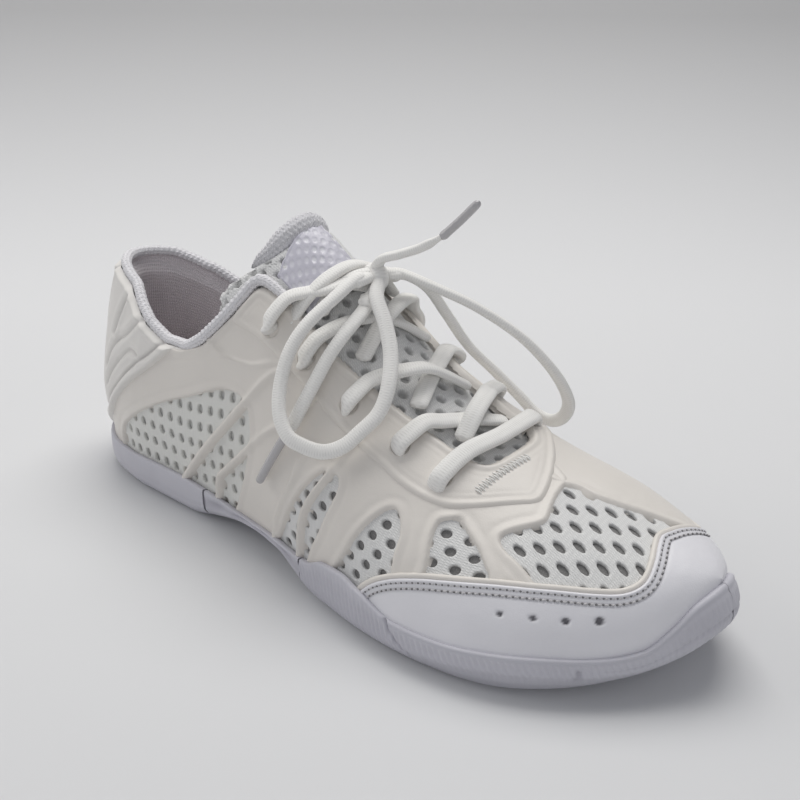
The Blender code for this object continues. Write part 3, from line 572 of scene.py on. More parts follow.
# painted shade: the backing is coloured dark for the shade inside the mesh holes; toned is the paler colour
# it takes towards the heel
under_look = knit("mesh_backing_look", (0.30, 0.295, 0.29), (0.16, 0.155, 0.155), 0.8, 0.8, 0.12,
                  toned=(0.62, 0.62, 0.60))
lining_look = knit("lining_knit_look", (0.86, 0.81, 0.83), (0.55, 0.50, 0.52), 1.3, 1.0, 0.28, 0.3)
binding_look = knit("binding_knit_look", (0.90, 0.89, 0.91), (0.66, 0.65, 0.68), 1.3, 1.3, 0.25, 0.7)
pad_look = knit("tongue_pad_look", (0.80, 0.795, 0.82), (0.52, 0.515, 0.54), 2.2, 0.9, 0.3, 0.6)
lace_look = braid("lace_braid_look", (0.91, 0.90, 0.875), (0.66, 0.65, 0.625), 0.8, 0.22)
sole_look = moulded("sole_rubber_look", COOL, 0.5, COOL_SHADE)
board_look = moulded("fibre_board_look", (0.6, 0.57, 0.52), 0.85, (0.45, 0.42, 0.38), 0.2)
foam_look = moulded("foam_look", (0.74, 0.73, 0.72), 0.9, (0.6, 0.59, 0.58), 0.25)
stitch_look = braid("stitch_thread_look", (0.66, 0.65, 0.66), (0.42, 0.41, 0.43), 0.5, 0.3)
patch_look = synthetic("patch_film_look", (0.60, 0.59, 0.66), 0.25, (0.80, 0.80, 0.84))
# painted shade: the colour of the dark marks that stand for the needle holes
hole_look = moulded("needle_hole_look", (0.20, 0.195, 0.20), 0.9, (0.12, 0.12, 0.12))
aglet_look = Look("aglet_look", (0.46, 0.45, 0.46), 0.25, Coat_Weight=0.4)
aglet_look.bump(aglet_look.noise(0.5, 1), 0.1)
aglet_look = aglet_look.done()


# ---------------------------------------------------------------- tubes, strips and stitches
def between(goals, at, rows):
    """Rows read between the rows of an array, which are at some places."""
    return np.stack([np.interp(goals, at, column) for column in np.transpose(rows)], -1)


def evenly(points, step):
    """Points at even spacing along a line of close points."""
    length = travelled(points)
    count = max(3, int(round(length[-1] / step)) + 1)
    return between(np.linspace(0, length[-1], count), length, points)


def frames(path, up):
    """Tangents, and sideways and upward directions that follow an upward hint along a path."""
    tangent = unit(np.gradient(path, axis=0))
    up = np.broadcast_to(np.asarray(up, float), path.shape)
    side = unit(np.cross(up, tangent))
    for i in range(1, len(side)):
        if side[i] @ side[i - 1] < 0:
            side[i] = -side[i]
    return tangent, side, unit(np.cross(tangent, side))


def sweep(name, path, up, width, height, look, around=20, square=2.0, swell=None, ends=1.0):
    """A cord of oval section. width and height are its half sizes; ends rounds its tips off."""
    tangent, side, top = frames(path, up)
    count = len(path)
    scale = np.ones(count) if swell is None else swell
    length = travelled(path)
    angle = np.linspace(0, math.tau, around, endpoint=False)
    c, s = np.cos(angle), np.sin(angle)
    c = np.sign(c) * np.abs(c) ** (2 / square)
    s = np.sign(s) * np.abs(s) ** (2 / square)
    ring = (side[:, None] * (c * width)[:, None] + top[:, None] * (s * height)[:, None])
    points = path[:, None] + ring * scale[:, None, None]
    caps = []
    for end, sign in ((0, -1), (-1, 1)):
        rows = []
        for grow, out in ((0.85, 0.45), (0.5, 0.8), (0.06, 1.0)):
            shift = tangent[end] * sign * out * min(width, height) * ends
            rows.append(path[end] + ring[end] * scale[end] * grow + shift)
        caps.append(rows)
    points = np.concatenate((np.array(caps[0][::-1]), points, np.array(caps[1])))
    run = np.concatenate(([-0.9, -0.6, -0.3], length, length[-1] + np.array([0.3, 0.6, 0.9])))
    girth_mm = math.pi * (width + height)
    points = np.concatenate((points, points[:, :1]), axis=1)
    uv = np.stack(np.broadcast_arrays(run[:, None], np.linspace(0, girth_mm, around + 1)), -1)
    return closed_tube(name, points, uv, look)


def closed_tube(name, points, uv, look, tone=None):
    """A mesh from rings of points whose first and last columns coincide; the tips are filled."""
    rows, columns = points.shape[:2]
    faces = tube_faces(rows, columns - 1)
    made = make_object(name, points[:, :-1].reshape(-1, 3), faces, look, tone=tone)
    layer = made.data.uv_layers.new(name="pattern")
    corners = grid_faces(rows, columns, flip=True).ravel()
    values = np.zeros((len(made.data.loops), 2), np.float32)
    values[:len(corners)] = uv.reshape(-1, 2)[corners]
    layer.data.foreach_set("uv", values.ravel())
    return made


THREAD, THREAD_SIDES = 0.32, 6
THREAD_STEP = 0.15


def stitches(name, line, depth, pitch, look, start=0.0, part=0.75, radius=THREAD):
    """A row of short threads that lie on the skin along a line, or of dark marks between them that paint
    the shade in the needle holes.
    """
    path = evenly(line.points, THREAD_STEP)
    turn, angle = line_places(line, len(path))
    normal = outward(turn, angle)
    lifted = path - normal * depth
    per = max(4, int(round(pitch / THREAD_STEP)))
    stitch = max(4, int(per * part))
    parts = []
    for first in range(int(start / THREAD_STEP), len(path) - per, per):
        piece = lifted[first:first + stitch].copy()
        arch = np.sin(np.linspace(0, math.pi, stitch))[:, None]
        piece += normal[first:first + stitch] * arch * radius * 0.6
        parts.append((piece, normal[first:first + stitch]))
    return bundle(name, parts, radius, look)


def line_places(line, count):
    """The turns and angles of so many places along a line."""
    goals = np.linspace(0, len(line.flat) - 1, count)
    return between(goals, np.arange(len(line.flat)), line.flat).T


def bundle(name, parts, radius, look):
    """Many short threads as one object, from (path, upward directions) parts."""
    points, faces = [], []
    angle = np.linspace(0, math.tau, THREAD_SIDES, endpoint=False)
    for path, up in parts:
        _, side, top = frames(path, up)
        thin = np.sin(np.linspace(0.25, math.pi - 0.25, len(path))) ** 0.4
        ring = side[:, None] * np.cos(angle)[:, None] + top[:, None] * np.sin(angle)[:, None]
        rings = path[:, None] + ring * (radius * thin)[:, None, None]
        faces += tube_faces(len(path), THREAD_SIDES, sum(len(p) for p in points))
        points.append(rings.reshape(-1, 3))
    points = np.concatenate(points)
    return make_object(name, points, faces, look, uv=points[:, :2])


# ---------------------------------------------------------------- the perforated mesh
RING = np.array([(-0.5, -0.5), (-0.25, -0.5), (0, -0.5), (0.25, -0.5), (0.5, -0.5), (0.5, -0.25),
                 (0.5, 0), (0.5, 0.25), (0.5, 0.5), (0.25, 0.5), (0, 0.5), (-0.25, 0.5), (-0.5, 0.5),
                 (-0.5, 0.25), (-0.5, 0), (-0.5, -0.25)])
MESH_TOP, MESH_WALL, BACKING, BACKING_PITCH = 1.05, 0.95, 2.15, 1.6


def perforated(name, outlines, x_span, reach_span, pitch, hole, brick, side=-1, from_ridge=False,
               slant=0.0, look=None):
    """Spacer mesh with oval holes, in cells, wherever it shows through some outlines.

    pitch and hole are (along, across) sizes; slant leans the rows of holes."""
    girth = GIRTHS[side]
    along = np.arange(x_span[0], x_span[1], pitch[0])
    across = np.arange(reach_span[0], reach_span[1], pitch[1])
    u, v = np.meshgrid(along, across, indexing="ij")
    rows = np.arange(len(across))[None, :]
    u = u + (rows % 2) * pitch[0] / 2 * brick
    u, v = u.ravel(), v.ravel()
    centre_turn = turn_at(u)
    centre_angle = girth.angle(centre_turn, v + slant * u, from_ridge)
    centre = place(centre_turn, centre_angle)
    keep = np.zeros(len(u), bool)
    for shape in outlines:
        keep |= shape.signed(centre, centre_turn, centre_angle) < pitch[0] * 0.75
    u, v = u[keep], v[keep]
    angle = np.arctan2(RING[:, 1] * pitch[1], RING[:, 0] * pitch[0])
    oval = np.stack((np.cos(angle) * hole[0] / 2, np.sin(angle) * hole[1] / 2), -1)
    cell = RING * np.array(pitch)
    # each ring's last number is its tone: painted shade that deepens down the hole's wall
    rings = ((cell, 0.0, 0.0), (cell * 0.55 + oval * 0.5, -0.1, 0.0), (oval * 1.28, -0.1, 0.0),
             (oval * 1.08, 0.06, 0.25), (oval, 0.35, 0.6), (oval * 0.94, MESH_WALL, 1.0))
    points, tones, uvs = [], [], []
    for offset, depth, tone in rings:
        x = u[:, None] + offset[None, :, 0]
        s = v[:, None] + offset[None, :, 1]
        turn = turn_at(x)
        spots = girth.angle(turn, s + slant * x, from_ridge)
        points.append(place(turn, spots, MESH_TOP + depth))
        tones.append(np.full(x.shape, tone))
        uvs.append(np.stack((x, s), -1))
    points = np.stack(points, 1)
    count = len(u)
    number = np.arange(count * len(rings) * 16).reshape(count, len(rings), 16)
    wrapped = np.concatenate((number, number[:, :, :1]), axis=2)
    a, b = wrapped[:, :-1, :-1], wrapped[:, :-1, 1:]
    c, d = wrapped[:, 1:, 1:], wrapped[:, 1:, :-1]
    faces = np.stack((a, b, c, d) if side < 0 else (d, c, b, a), -1).reshape(-1, 4)
    made = make_object(name, points.reshape(-1, 3), faces, look or mesh_look,
                       np.stack(uvs, 1).reshape(-1, 2), np.stack(tones, 1).ravel())
    weld(made)
    return made


def weld(made):
    shape = bmesh.new()
    shape.from_mesh(made.data)
    bmesh.ops.remove_doubles(shape, verts=shape.verts, dist=0.02 * MM)
    shape.to_mesh(made.data)
    shape.free()


# ---------------------------------------------------------------- outlines on the upper
def rises(spots, medial=False):
    """(x, height) spots as (x, angle) ones, on the lateral side unless medial is set."""
    return [(x, float(angle_at(x, z, medial))) for x, z in spots]


REAR = rises([(-97, 21), (-90, 27), (-75.5, 36), (-62, 42.5), (-52, 46.5), (-42, 51), (-33, 53.6),
              (-26, 53), (-21.5, 48), (-20.7, 38), (-23, 28), (-27, 19.4), (-30, 13), (-34, 8), (-60, 8),
              (-92, 8), (-99, 14)])
SECOND = rises([(14.5, 41.7), (18, 42.3), (20.6, 41.2), (21, 37), (19, 31), (16.2, 23.9), (13, 18),
                (10.5, 12), (7, 8), (-6, 8), (-5, 12), (-1.5, 19), (3, 27), (9, 36)])
THIRD = [(42.6, 40.8), (41, 40.3), (39.3, 38.4), (36.7, 33.8), (32.9, 26.1), (28.7, 16.4), (24.3, 7.7),
         (22, 2), (38, 2), (46, 10), (48.5, 18), (47.5, 24), (46.9, 28), (46.5, 34.8), (44.7, 38.9)]
FOURTH = [(55.4, 46.1), (57.2, 48.6), (58.8, 49.8), (60.5, 49.9), (62.6, 48.9), (68.7, 45.1), (73, 40.6),
          (74.9, 38.2), (76, 33), (70, 25), (62, 21), (58.6, 24), (58.2, 29), (57.6, 34), (56, 39.7)]
VAMP_REAR = [(86.5, 41.5), (80.8, 46.2), (75.2, 49), (72.4, 52), (73.6, 55.7), (77, 60.4), (79, 63.5),
             (79.4, 66.5), (78, 71.4), (76.5, 77.5), (76, 81)]
VAMP_TOP = [(76.9, 83.5), (79.4, 84.6), (85.5, 85.3), (95.7, 89.9), (103.4, 95.8), (107.6, 101.4)]
VAMP = VAMP_REAR + VAMP_TOP + [(114, 104), (114, 40), (99, 35), (90, 35)]
WINDOWS = {side: [drawn(on_side(side, spots), closed=True) for spots in (REAR, SECOND, THIRD, FOURTH)]
           for side in (-1, 1)}
VAMP_WINDOW = drawn(VAMP, closed=True, steps=6)
CAP_EDGE = [(35.4, 2), (36.6, 8), (39.7, 13), (43.9, 17.7), (50, 22.8), (57.6, 27.6), (65.7, 31.5),
            (75.9, 35.8), (85.1, 38.9), (92.7, 41.6), (100, 44), (106, 47), (108.9, 52), (109.6, 59),
            (108.4, 69), (106.3, 78), (105, 84.5), (106.2, 91), (108.2, 103), (109.3, 114), (109, 124),
            (106, 133), (99, 137.5), (85.6, 141.5), (75.9, 144.5), (65.7, 148.6), (57.6, 152.5),
            (50, 157.2), (43.9, 162.3), (39.7, 167), (36.6, 172), (35.4, 178)]
CAP = drawn(CAP_EDGE)


def cap_side(turn, angle):
    """Whether places belong to the toe cap, by its edge line."""
    ring = [(37, -5)] + CAP_EDGE + [(37, 185), (127.5, 185), (127.5, -5)]
    return drawn(ring, closed=True, steps=0).inside(np.minimum(turn, 0.9999), angle)


GUARD = [(56.4, 52.3), (52, 50.2), (47, 48.8), (39.7, 47.9), (31.7, 47.9), (20, 46.5), (5, 44), (-10, 42),
         (-24, 41), (-33, 40.5), (-34, 42), (-30.5, 46.5), (-25.5, 52), (-18, 53.5), (-9, 55), (4, 58),
         (20, 64), (37, 67.5), (50, 69), (56.5, 72), (58.6, 80), (58.8, 90), (57.5, 96), (54, 100.5),
         (48, 102), (37, 104.5), (18, 110.5), (0, 120.5), (-14, 125), (-25, 128), (-30.5, 133.5),
         (-34, 138), (-33, 139.5), (-24, 139.5), (5, 138), (24, 133.5), (41, 129.5), (51, 123),
         (57, 114), (61.5, 104), (66.3, 94), (70.2, 86), (73.2, 78), (74.5, 72.5), (73.8, 69),
         (71, 66), (67.6, 62.5), (62.6, 57.4)]
GUARD_OUTLINE = drawn(GUARD, closed=True, steps=6)
RIBS = {
    "a": (rises([(-8, 66), (-11.7, 65), (-24, 52), (-40, 34.5), (-57, 15.5), (-60, 12)]), 1.7, 1.15),
    "b": (rises([(-4, 51.5), (-7.7, 49), (-22.4, 36), (-33, 26), (-38, 21), (-39.6, 13)]), 1.5, 0.95),
    "c": (rises([(7, 46), (5.4, 42.7), (1.4, 32), (-5.4, 19.5), (-7.7, 11)]), 1.5, 1.05),
    "d": (rises([(21, 50), (19.6, 47), (16.2, 40.5), (8.8, 26), (6.6, 11)]), 1.3, 0.95),
    "arc": (rises([(-44, 67.7), (-34, 64.6), (-22, 64.8), (-10, 68)]), 1.1, 0.6),
    "upper": (rises([(-6, 51), (3, 56.7), (7, 60.4), (14, 63)]), 1.2, 0.5)}


UNDER_CAP = [(39, -6), (41.5, 8), (48, 16), (56, 23), (66, 28), (76, 32), (86, 35)]


def quarter_outline(side):
    """The film that covers one side, from the heel to the saddle in front of the throat."""
    if side < 0:
        front = UNDER_CAP + [(90, 38)] + VAMP_REAR + [(74, 87), (60, 91), (57, 73)]
        top = [(50, 69), (37, 67.5), (20, 64), (4, 58), (-9, 55), (-18, 53.5), (-25, 52.5), (-30, 47),
               (-35.8, 41), (-41.7, 36.2), (-48, 32), (-59, 29.3), (-66, 29.3)]
    else:
        front = UNDER_CAP + [(99, 38), (108, 44), (113, 55), (113, 76)] + on_side(1, VAMP_TOP[::-1])
        front += [(74.5, 98), (66, 98), (60, 93), (57, 80)]
        top = [(50, 79), (35, 75), (18, 69), (0, 59), (-14, 55), (-25, 52), (-30, 47), (-35.8, 41),
               (-41.7, 36.2), (-48, 32), (-59, 29.3), (-66, 29.3)]
    heel = [(-75, 26), (-90, 20), (-104, 13), (-109, 10), (-127.5, 9), (-127.5, -6)]
    return drawn(on_side(side, front + top + heel), closed=True, steps=3)


def rolled(edge, drop, soft=0.9):
    """The depth that a film's rounded edge falls to, for its distance outside the edge."""
    return drop * ramp(edge, -soft * 0.55, soft * 0.75) - 0.22 * bell(edge + 1.2, 0.7)


FILM_PITCH = {-1: 0.62, 1: 0.85}


def build_film(side):
    """One side's bonded overlay, with its windows and moulded ribs."""
    whole = quarter_outline(side)
    if side < 0:
        top = Profile((-127.5, 24), (-66, 33), (-45, 36), (-30, 51), (-10, 58), (20, 67), (50, 73),
                      (57, 80), (62, 92), (89, 92))
        turn, angle = chart(-CHART_HALF, 89, level(0), top, FILM_PITCH[side])
    else:
        top = Profile((-127.5, 24), (-66, 33), (-45, 36), (-30, 51), (-10, 58), (20, 72), (50, 82),
                      (57, 90), (62, 99), (113, 99))
        turn, angle = chart(-CHART_HALF, 113, lambda x: 180 - top(x), level(180), FILM_PITCH[side])
    base = place(turn, angle)
    edge = whole.signed(base, turn, angle)
    for window in WINDOWS[side]:
        edge = np.maximum(edge, -window.signed(base, turn, angle))
    over = np.zeros(edge.shape)
    for spots, width, height in RIBS.values():
        distance = drawn(on_side(side, spots)).distance(base)
        over = np.maximum(over, bell(distance, width * 0.72) * height)
        edge = np.minimum(edge, distance - width)
    depth = rolled(edge, 2.4) - over + 0.18 * bell(edge + 3.4, 0.8)
    depth = depth - 0.05 * np.sin(base[..., 0] / 11.0) * ramp(edge, 0, -6)
    # painted shade: the film darkens where its edge rolls down towards the mesh
    tone = 0.35 * ramp(edge, -0.2, 0.8)
    points = place(turn, angle, depth)
    word = "lateral" if side < 0 else "medial"
    made = surface("overlay_" + word, points, film_look, keep=edge < 1.6, tone=tone)
    wear(made, "overlay_synthetic", "quarter_" + word)


EYELET_X = {-1: (49.2, 34, 15, -2, -17), 1: (51.5, 36, 18, 1, -14)}
EYELET_RISE = {-1: (58, 57, 53, 49, 46), 1: (72, 65, 56, 48, 46)}


def build_guard():
    """The raised reinforcement that runs round the throat and over the saddle."""
    turn, angle = chart(-42, 76, level(38), level(142), FILM_PITCH[-1])
    base = place(turn, angle)
    edge = GUARD_OUTLINE.signed(base, turn, angle)
    channel = 0.2 * bell(edge + 2.8, 0.6) + 0.1 * bell(edge + 4.6, 0.5)
    depth = -0.62 + rolled(edge, 1.7, 1.8) + channel
    pit = np.zeros(edge.shape)
    for side in (-1, 1):
        for x, rise in zip(EYELET_X[side], EYELET_RISE[side]):
            spot = place(turn_at(x), across(side, rise))
            distance = np.linalg.norm(base - spot, axis=-1)
            pit = np.maximum(pit, ramp(distance, 2.9, 2.1))
            depth = depth - 0.25 * bell(distance - 3.3, 0.6)
    depth = depth + pit * 1.6
    # painted shade: darker in the eyelet pits, along the rolled edge and in the stitch channel
    tone = np.clip(pit * 0.9 + 0.3 * ramp(edge, -0.4, 0.8) + 0.5 * channel, 0, 1)
    made = surface("eyestay_guard", place(turn, angle, depth), film_look, keep=edge < 1.2, tone=tone)
    wear(made, "overlay_synthetic", "eyestay_lateral", "eyestay_medial", "vamp_saddle")


def lateral_top(x):
    return TOP_RISE[-1](x) - 0.6


def medial_top(x):
    return 180 - TOP_RISE[1](x) + 0.6


def build_mesh():
    """The perforated spacer mesh in every window, over its backing."""
    for side, name in ((-1, "lateral"), (1, "medial")):
        low, high = (level(6), lateral_top) if side < 0 else (medial_top, level(174))
        turn, angle = chart(-76, 60, low, high, BACKING_PITCH)
        made = surface("quarter_lining_" + name, place(turn, angle, 2.55), lining_look, flip=True)
        wear(made, "lining_knit")
        shapes = WINDOWS[side]
        rear = perforated("mesh_rear_" + name, shapes[:1], (-104, -14), (2, 62), (5.6, 6.6),
                          (2.8, 3.5), 0, side, look=veiled_look)
        middle = perforated("mesh_side_" + name, shapes[1:], (-8, 82), (2, 52), (7.0, 4.6),
                            (3.3, 2.9), 1, side)
        wear(rear, "upper_mesh", "quarter_mesh")
        wear(middle, "upper_mesh")
    vamp = perforated("mesh_vamp", [VAMP_WINDOW], (62, 122), (-64, 38), (8.2, 4.35), (4.2, 2.5), 1,
                      from_ridge=True, slant=-0.18)
    wear(vamp, "upper_mesh")
    for name, low, high, start, end, *nodes in (
            ("backing_lateral", level(2), lateral_top, -112, 58),
            ("backing_medial", medial_top, level(178), -112, 58),
            ("backing_front", level(2), level(178), 57.5, 124, "vamp_mesh")):
        turn, angle = chart(start, end, low, high, BACKING_PITCH)
        # makes the backing's painted shade paler towards the heel, where the holes look paler
        paler_at_heel = 0.9 * ramp(x_at(turn), -2, -16)
        made = surface(name, place(turn, angle, BACKING), under_look, tone=paler_at_heel)
        wear(made, "upper_mesh", *nodes)


CAP_PITCH = 0.5
CAP_SEAMS, CAP_STITCH = (1.5, 3.2), 1.8
CAP_HOLES = (((82.0, 23.6), 0.85), ((90.0, 24.0), 0.9), ((97.3, 24.0), 1.05), ((104.3, 24.4), 1.25))


def build_toe_cap():
    """The smooth toe cap, with two rows of stitching, four air holes a side and a piped edge."""
    turn, angle = chart(36.5, CHART_HALF, level(0), level(180), CAP_PITCH)
    base = place(turn, angle)
    edge = np.where(cap_side(turn, angle), -1, 1) * CAP.distance(base)
    groove = bell(edge + CAP_SEAMS[0], 0.5) + bell(edge + CAP_SEAMS[1], 0.5)
    depth = -0.45 + rolled(edge, 2.2, 1.3) + 0.28 * groove - 0.3 * bell(edge + 0.9, 0.7)
    pit = np.zeros(edge.shape)
    for (x, z), radius in CAP_HOLES:
        for medial in (False, True):
            spot = place(turn_at(x), angle_at(x, z, medial))
            distance = np.linalg.norm(base - spot, axis=-1)
            pit = np.maximum(pit, ramp(distance, radius + 0.15, radius - 0.4))
    depth = depth + pit * 0.9
    # painted shade: darker in the air holes and the stitch grooves
    tone = np.clip(pit + 0.14 * groove, 0, 1)
    made = surface("toe_cap_shell", place(turn, angle, depth), cap_look, keep=edge < 1.3, tone=tone)
    wear(made, "toe_film", "toe_cap")
    for k, inset in enumerate(CAP_SEAMS):
        line = offset_line(CAP, inset)
        # the needle rows are dark marks, painted shade in the needle holes between the stitches
        for word, depth, look, start, part in (
                ("stitch", -0.3, stitch_look, 0.0, 0.66), ("needle", -0.34, hole_look, 1.32, 0.3)):
            made = stitches("toe_{}_{}".format(word, k + 1), line, depth, CAP_STITCH, look, start, part)
            wear(made, "lace_weave")
    piping = offset_line(CAP, -0.5)
    path = evenly(piping.points - outward(piping.flat[:, 0], piping.flat[:, 1]) * 0.2, 1.2)
    normal = outward(*line_places(piping, len(path)))
    made = sweep("toe_piping", path, normal, 0.85, 0.75, film_look, around=10)
    wear(made, "overlay_synthetic")


def offset_line(line, inset):
    """A copy of a line, moved on the skin to its toe side by a distance."""
    turn, angle = line.flat[:, 0], line.flat[:, 1]
    step_turn = (place(turn + 0.002, angle) - place(turn - 0.002, angle)) / 0.004
    step_angle = (place(turn, angle + 0.5) - place(turn, angle - 0.5)) / 1.0
    tangent = unit(np.gradient(line.points, axis=0))
    inward = unit(np.cross(tangent, outward(turn, angle)))
    move = inward * inset
    moved_turn, moved_angle = [], []
    for i in range(len(turn)):
        basis = np.stack((step_turn[i], step_angle[i]), -1)
        dt, da = np.linalg.lstsq(basis, move[i], rcond=None)[0]
        moved_turn.append(turn[i] + dt)
        moved_angle.append(angle[i] + da)
    return Line(np.stack((moved_turn, moved_angle), -1))


# ---------------------------------------------------------------- the heel clip
CLIP_GROOVES = (
    [(-96, 71), (-99, 67), (-101.5, 62), (-103.6, 56)],
    [(-76, 69.5), (-80.7, 67), (-90.7, 59.4), (-98.5, 55), (-104.3, 50), (-107.9, 43)],
    [(-82.6, 53.4), (-86, 54.2), (-90, 53), (-100, 45), (-106.7, 36)],
    [(-116, 78), (-119.5, 66), (-121.5, 52), (-122.2, 38)])


def clip_low(x):
    """The clip's lower edge, which dips behind the sole's rim at the heel."""
    return angle_at(x, CLIP_BAND_Z(x) - 7.0 * ramp(x, -111, -121))


def build_clip():
    """The moulded clip that wraps the heel, with a raised band along its lower edge."""
    end = float(turn_at(-58.0))
    turn, angle = chart_turns(-end, end, clip_low,
                              lambda x: np.maximum(TOP_RISE[-1](x) + 0.5, clip_low(x) + 0.6), 0.6)
    base = place(turn, angle)
    from_low = summed(gaps(base, 1)) * 0.8
    from_top = from_low[:, -1:] - from_low
    edge = -np.minimum(from_low, from_top)
    band = np.exp(-((from_low - 2.3) / 1.5) ** 4)
    seam = bell(from_low - 4.8, 0.6)
    depth = -0.9 + rolled(edge + 0.8, 1.9, 1.5) - 0.6 * band + 0.8 * seam
    # painted shade: darker in the seam groove along the band
    tone = 0.7 * seam
    for spots in CLIP_GROOVES:
        for medial in (False, True):
            distance = drawn(rises(spots, medial)).distance(base)
            depth = depth + 0.75 * bell(distance, 0.7) - 0.35 * bell(distance - 2.6, 1.3)
            # painted shade in the moulded grooves
            tone = tone + 0.4 * bell(distance, 0.7)
    made = surface("heel_clip_shell", place(turn, angle, depth), clip_look, tone=np.clip(tone, 0, 1))
    wear(made, "overlay_synthetic", "heel_clip")


# ---------------------------------------------------------------- collar
def beside(turn, angle, away, depth):
    """A path that runs beside an edge of the skin: out from the edge's end, and under the skin."""
    base = place(turn, angle)
    normal = outward(turn, angle)
    along = unit(np.gradient(base, axis=0))
    side = unit(np.cross(normal, along))
    return base + side * np.asarray(away)[..., None] - normal * np.asarray(depth)[..., None], normal


def ribbed_sweep(name, path, up, radius, look, ribs, around=22, swell=None):
    """A round cord whose surface carries ribs, given as a function of length and angle."""
    _, side, top = frames(path, up)
    length = travelled(path)
    angle = np.linspace(0, math.tau, around + 1)
    scale = np.ones(len(path)) if swell is None else swell
    ends = np.minimum(length, length[-1] - length)
    scale = scale * np.clip(ends / radius, 0.02, 1) ** 0.5
    size = radius * scale[:, None] + ribs(length[:, None], angle[None, :])
    ring = (side[:, None] * (np.cos(angle) * size)[..., None]
            + top[:, None] * (np.sin(angle) * size)[..., None])
    uv = np.stack(np.broadcast_arrays(length[:, None], angle[None, :] * radius), -1)
    return closed_tube(name, path[:, None] + ring, uv, look)


def build_binding():
    """The knitted binding along the collar and over the front peaks of the quarters."""
    end = float(turn_at(-13.5))
    turns = np.linspace(-end, end, 900)
    x = x_at(np.abs(turns))
    rise = np.where(turns < 0, TOP_RISE[1](x), TOP_RISE[-1](x))
    away = 1.9 + 0.5 * ramp(x, -40, -28) - 0.4 * ramp(x, -25, -15)
    depth = 2.4 - 2.2 * ramp(x, -62, -46)
    path, normal = beside(turns, rise, away, depth)
    path = evenly(path, 0.36)
    up = between(np.linspace(0, len(turns) - 1, len(path)), np.arange(len(turns)), normal)

    def ribs(length, angle):
        twist = np.sin(math.tau * length / 2.1 + 2 * np.abs(angle - math.pi))
        return 0.14 * twist + 0.05 * np.sin(math.tau * length / 0.9 - 3 * angle)

    taper = np.interp(np.linspace(0, 1, len(path)), (0, 0.06, 0.94, 1), (0.72, 1, 1, 0.72))
    made = ribbed_sweep("collar_binding_knit", path, unit(up), 1.85, binding_look, ribs, swell=taper)
    wear(made, "binding_knit", "collar_binding")


def padding_inner(z):
    return 3.5 + 2 * ramp(z, 38, 50)


def build_lining():
    """The padded collar lining, from the footbed to the binding."""
    end = float(turn_at(-44.0))
    turn, share = np.meshgrid(np.linspace(-end, end, 260), np.linspace(0, 1, 90), indexing="ij")
    x = x_at(np.abs(turn))
    low = angle_at(x, FLOOR_Z(x) + 8)
    high = np.where(turn < 0, TOP_RISE[1](x), TOP_RISE[-1](x)) + 0.5
    angle = low + (high - low) * share
    base = place(turn, angle)
    z = base[..., 2]
    reach = summed(gaps(base, 1))
    from_top = reach[:, -1:] - reach
    soft = 0.35 * np.sin(x / 7.0) * np.sin(z / 9.0)
    depth = padding_inner(z) + 1.2 + soft * ramp(from_top, 3, 10)
    roll = ramp(from_top, 6.5, 0.0)
    depth = depth * (1 - roll) + 2.0 * roll
    lift = 2.2 * bell(from_top - 1.0, 2.0)
    points = place(turn, angle, depth)
    points[..., 2] += lift * 0.6
    made = surface("collar_lining_pad", points, lining_look, flip=True)
    wear(made, "lining_knit", "collar_lining", "collar_padding")


# ---------------------------------------------------------------- tongue
TONGUE_SEAM = float(turn_at(64))
TONGUE_HOLES = (7.6, 4.7)
WING_HOLES = ((-43.0, 46.6), (-37.6, 49.4), (-44.6, 42.0), (-32.6, 54.2))


def tongue_grid(inset, t_end, rows, columns, longer=0.0):
    """A grid of turns, angles and shares over the tongue, shares running from its top edge."""
    t = np.linspace(0, t_end, rows)[:, None]
    c = np.linspace(-1, 1, columns)[None, :]
    low = np.where(c < 0, TONGUE_SIDE_RISE[-1](t), TONGUE_SIDE_RISE[1](t))
    rise = 90 - (90 - low - inset) * np.abs(c)
    top = turn_at(TONGUE_TOP_X(rise) - longer)
    turn = top + (TONGUE_SEAM - top) * t
    t, c = np.broadcast_arrays(t, c)
    return turn, np.where(c < 0, rise, 180 - rise), t, c


def arc_lengths(points):
    """Distances along the rows and across the columns of a grid, from its middle column."""
    over = summed(gaps(points, 1))
    middle = points.shape[1] // 2
    return summed(gaps(points, 0), 0), over - over[:, middle:middle + 1]


def lattice(along, over, pitch, radius):
    """How deep each point is in a brick lattice of round holes, 0 to 1."""
    best = np.zeros(along.shape)
    for shift in (0, 0.5):
        u = (along / pitch[0] + shift) % 1 - 0.5
        v = (over / (2 * pitch[1]) + shift) % 1 - 0.5
        distance = np.hypot(u * pitch[0], v * 2 * pitch[1])
        best = np.maximum(best, ramp(distance, radius + 0.35, radius - 0.3))
    return best


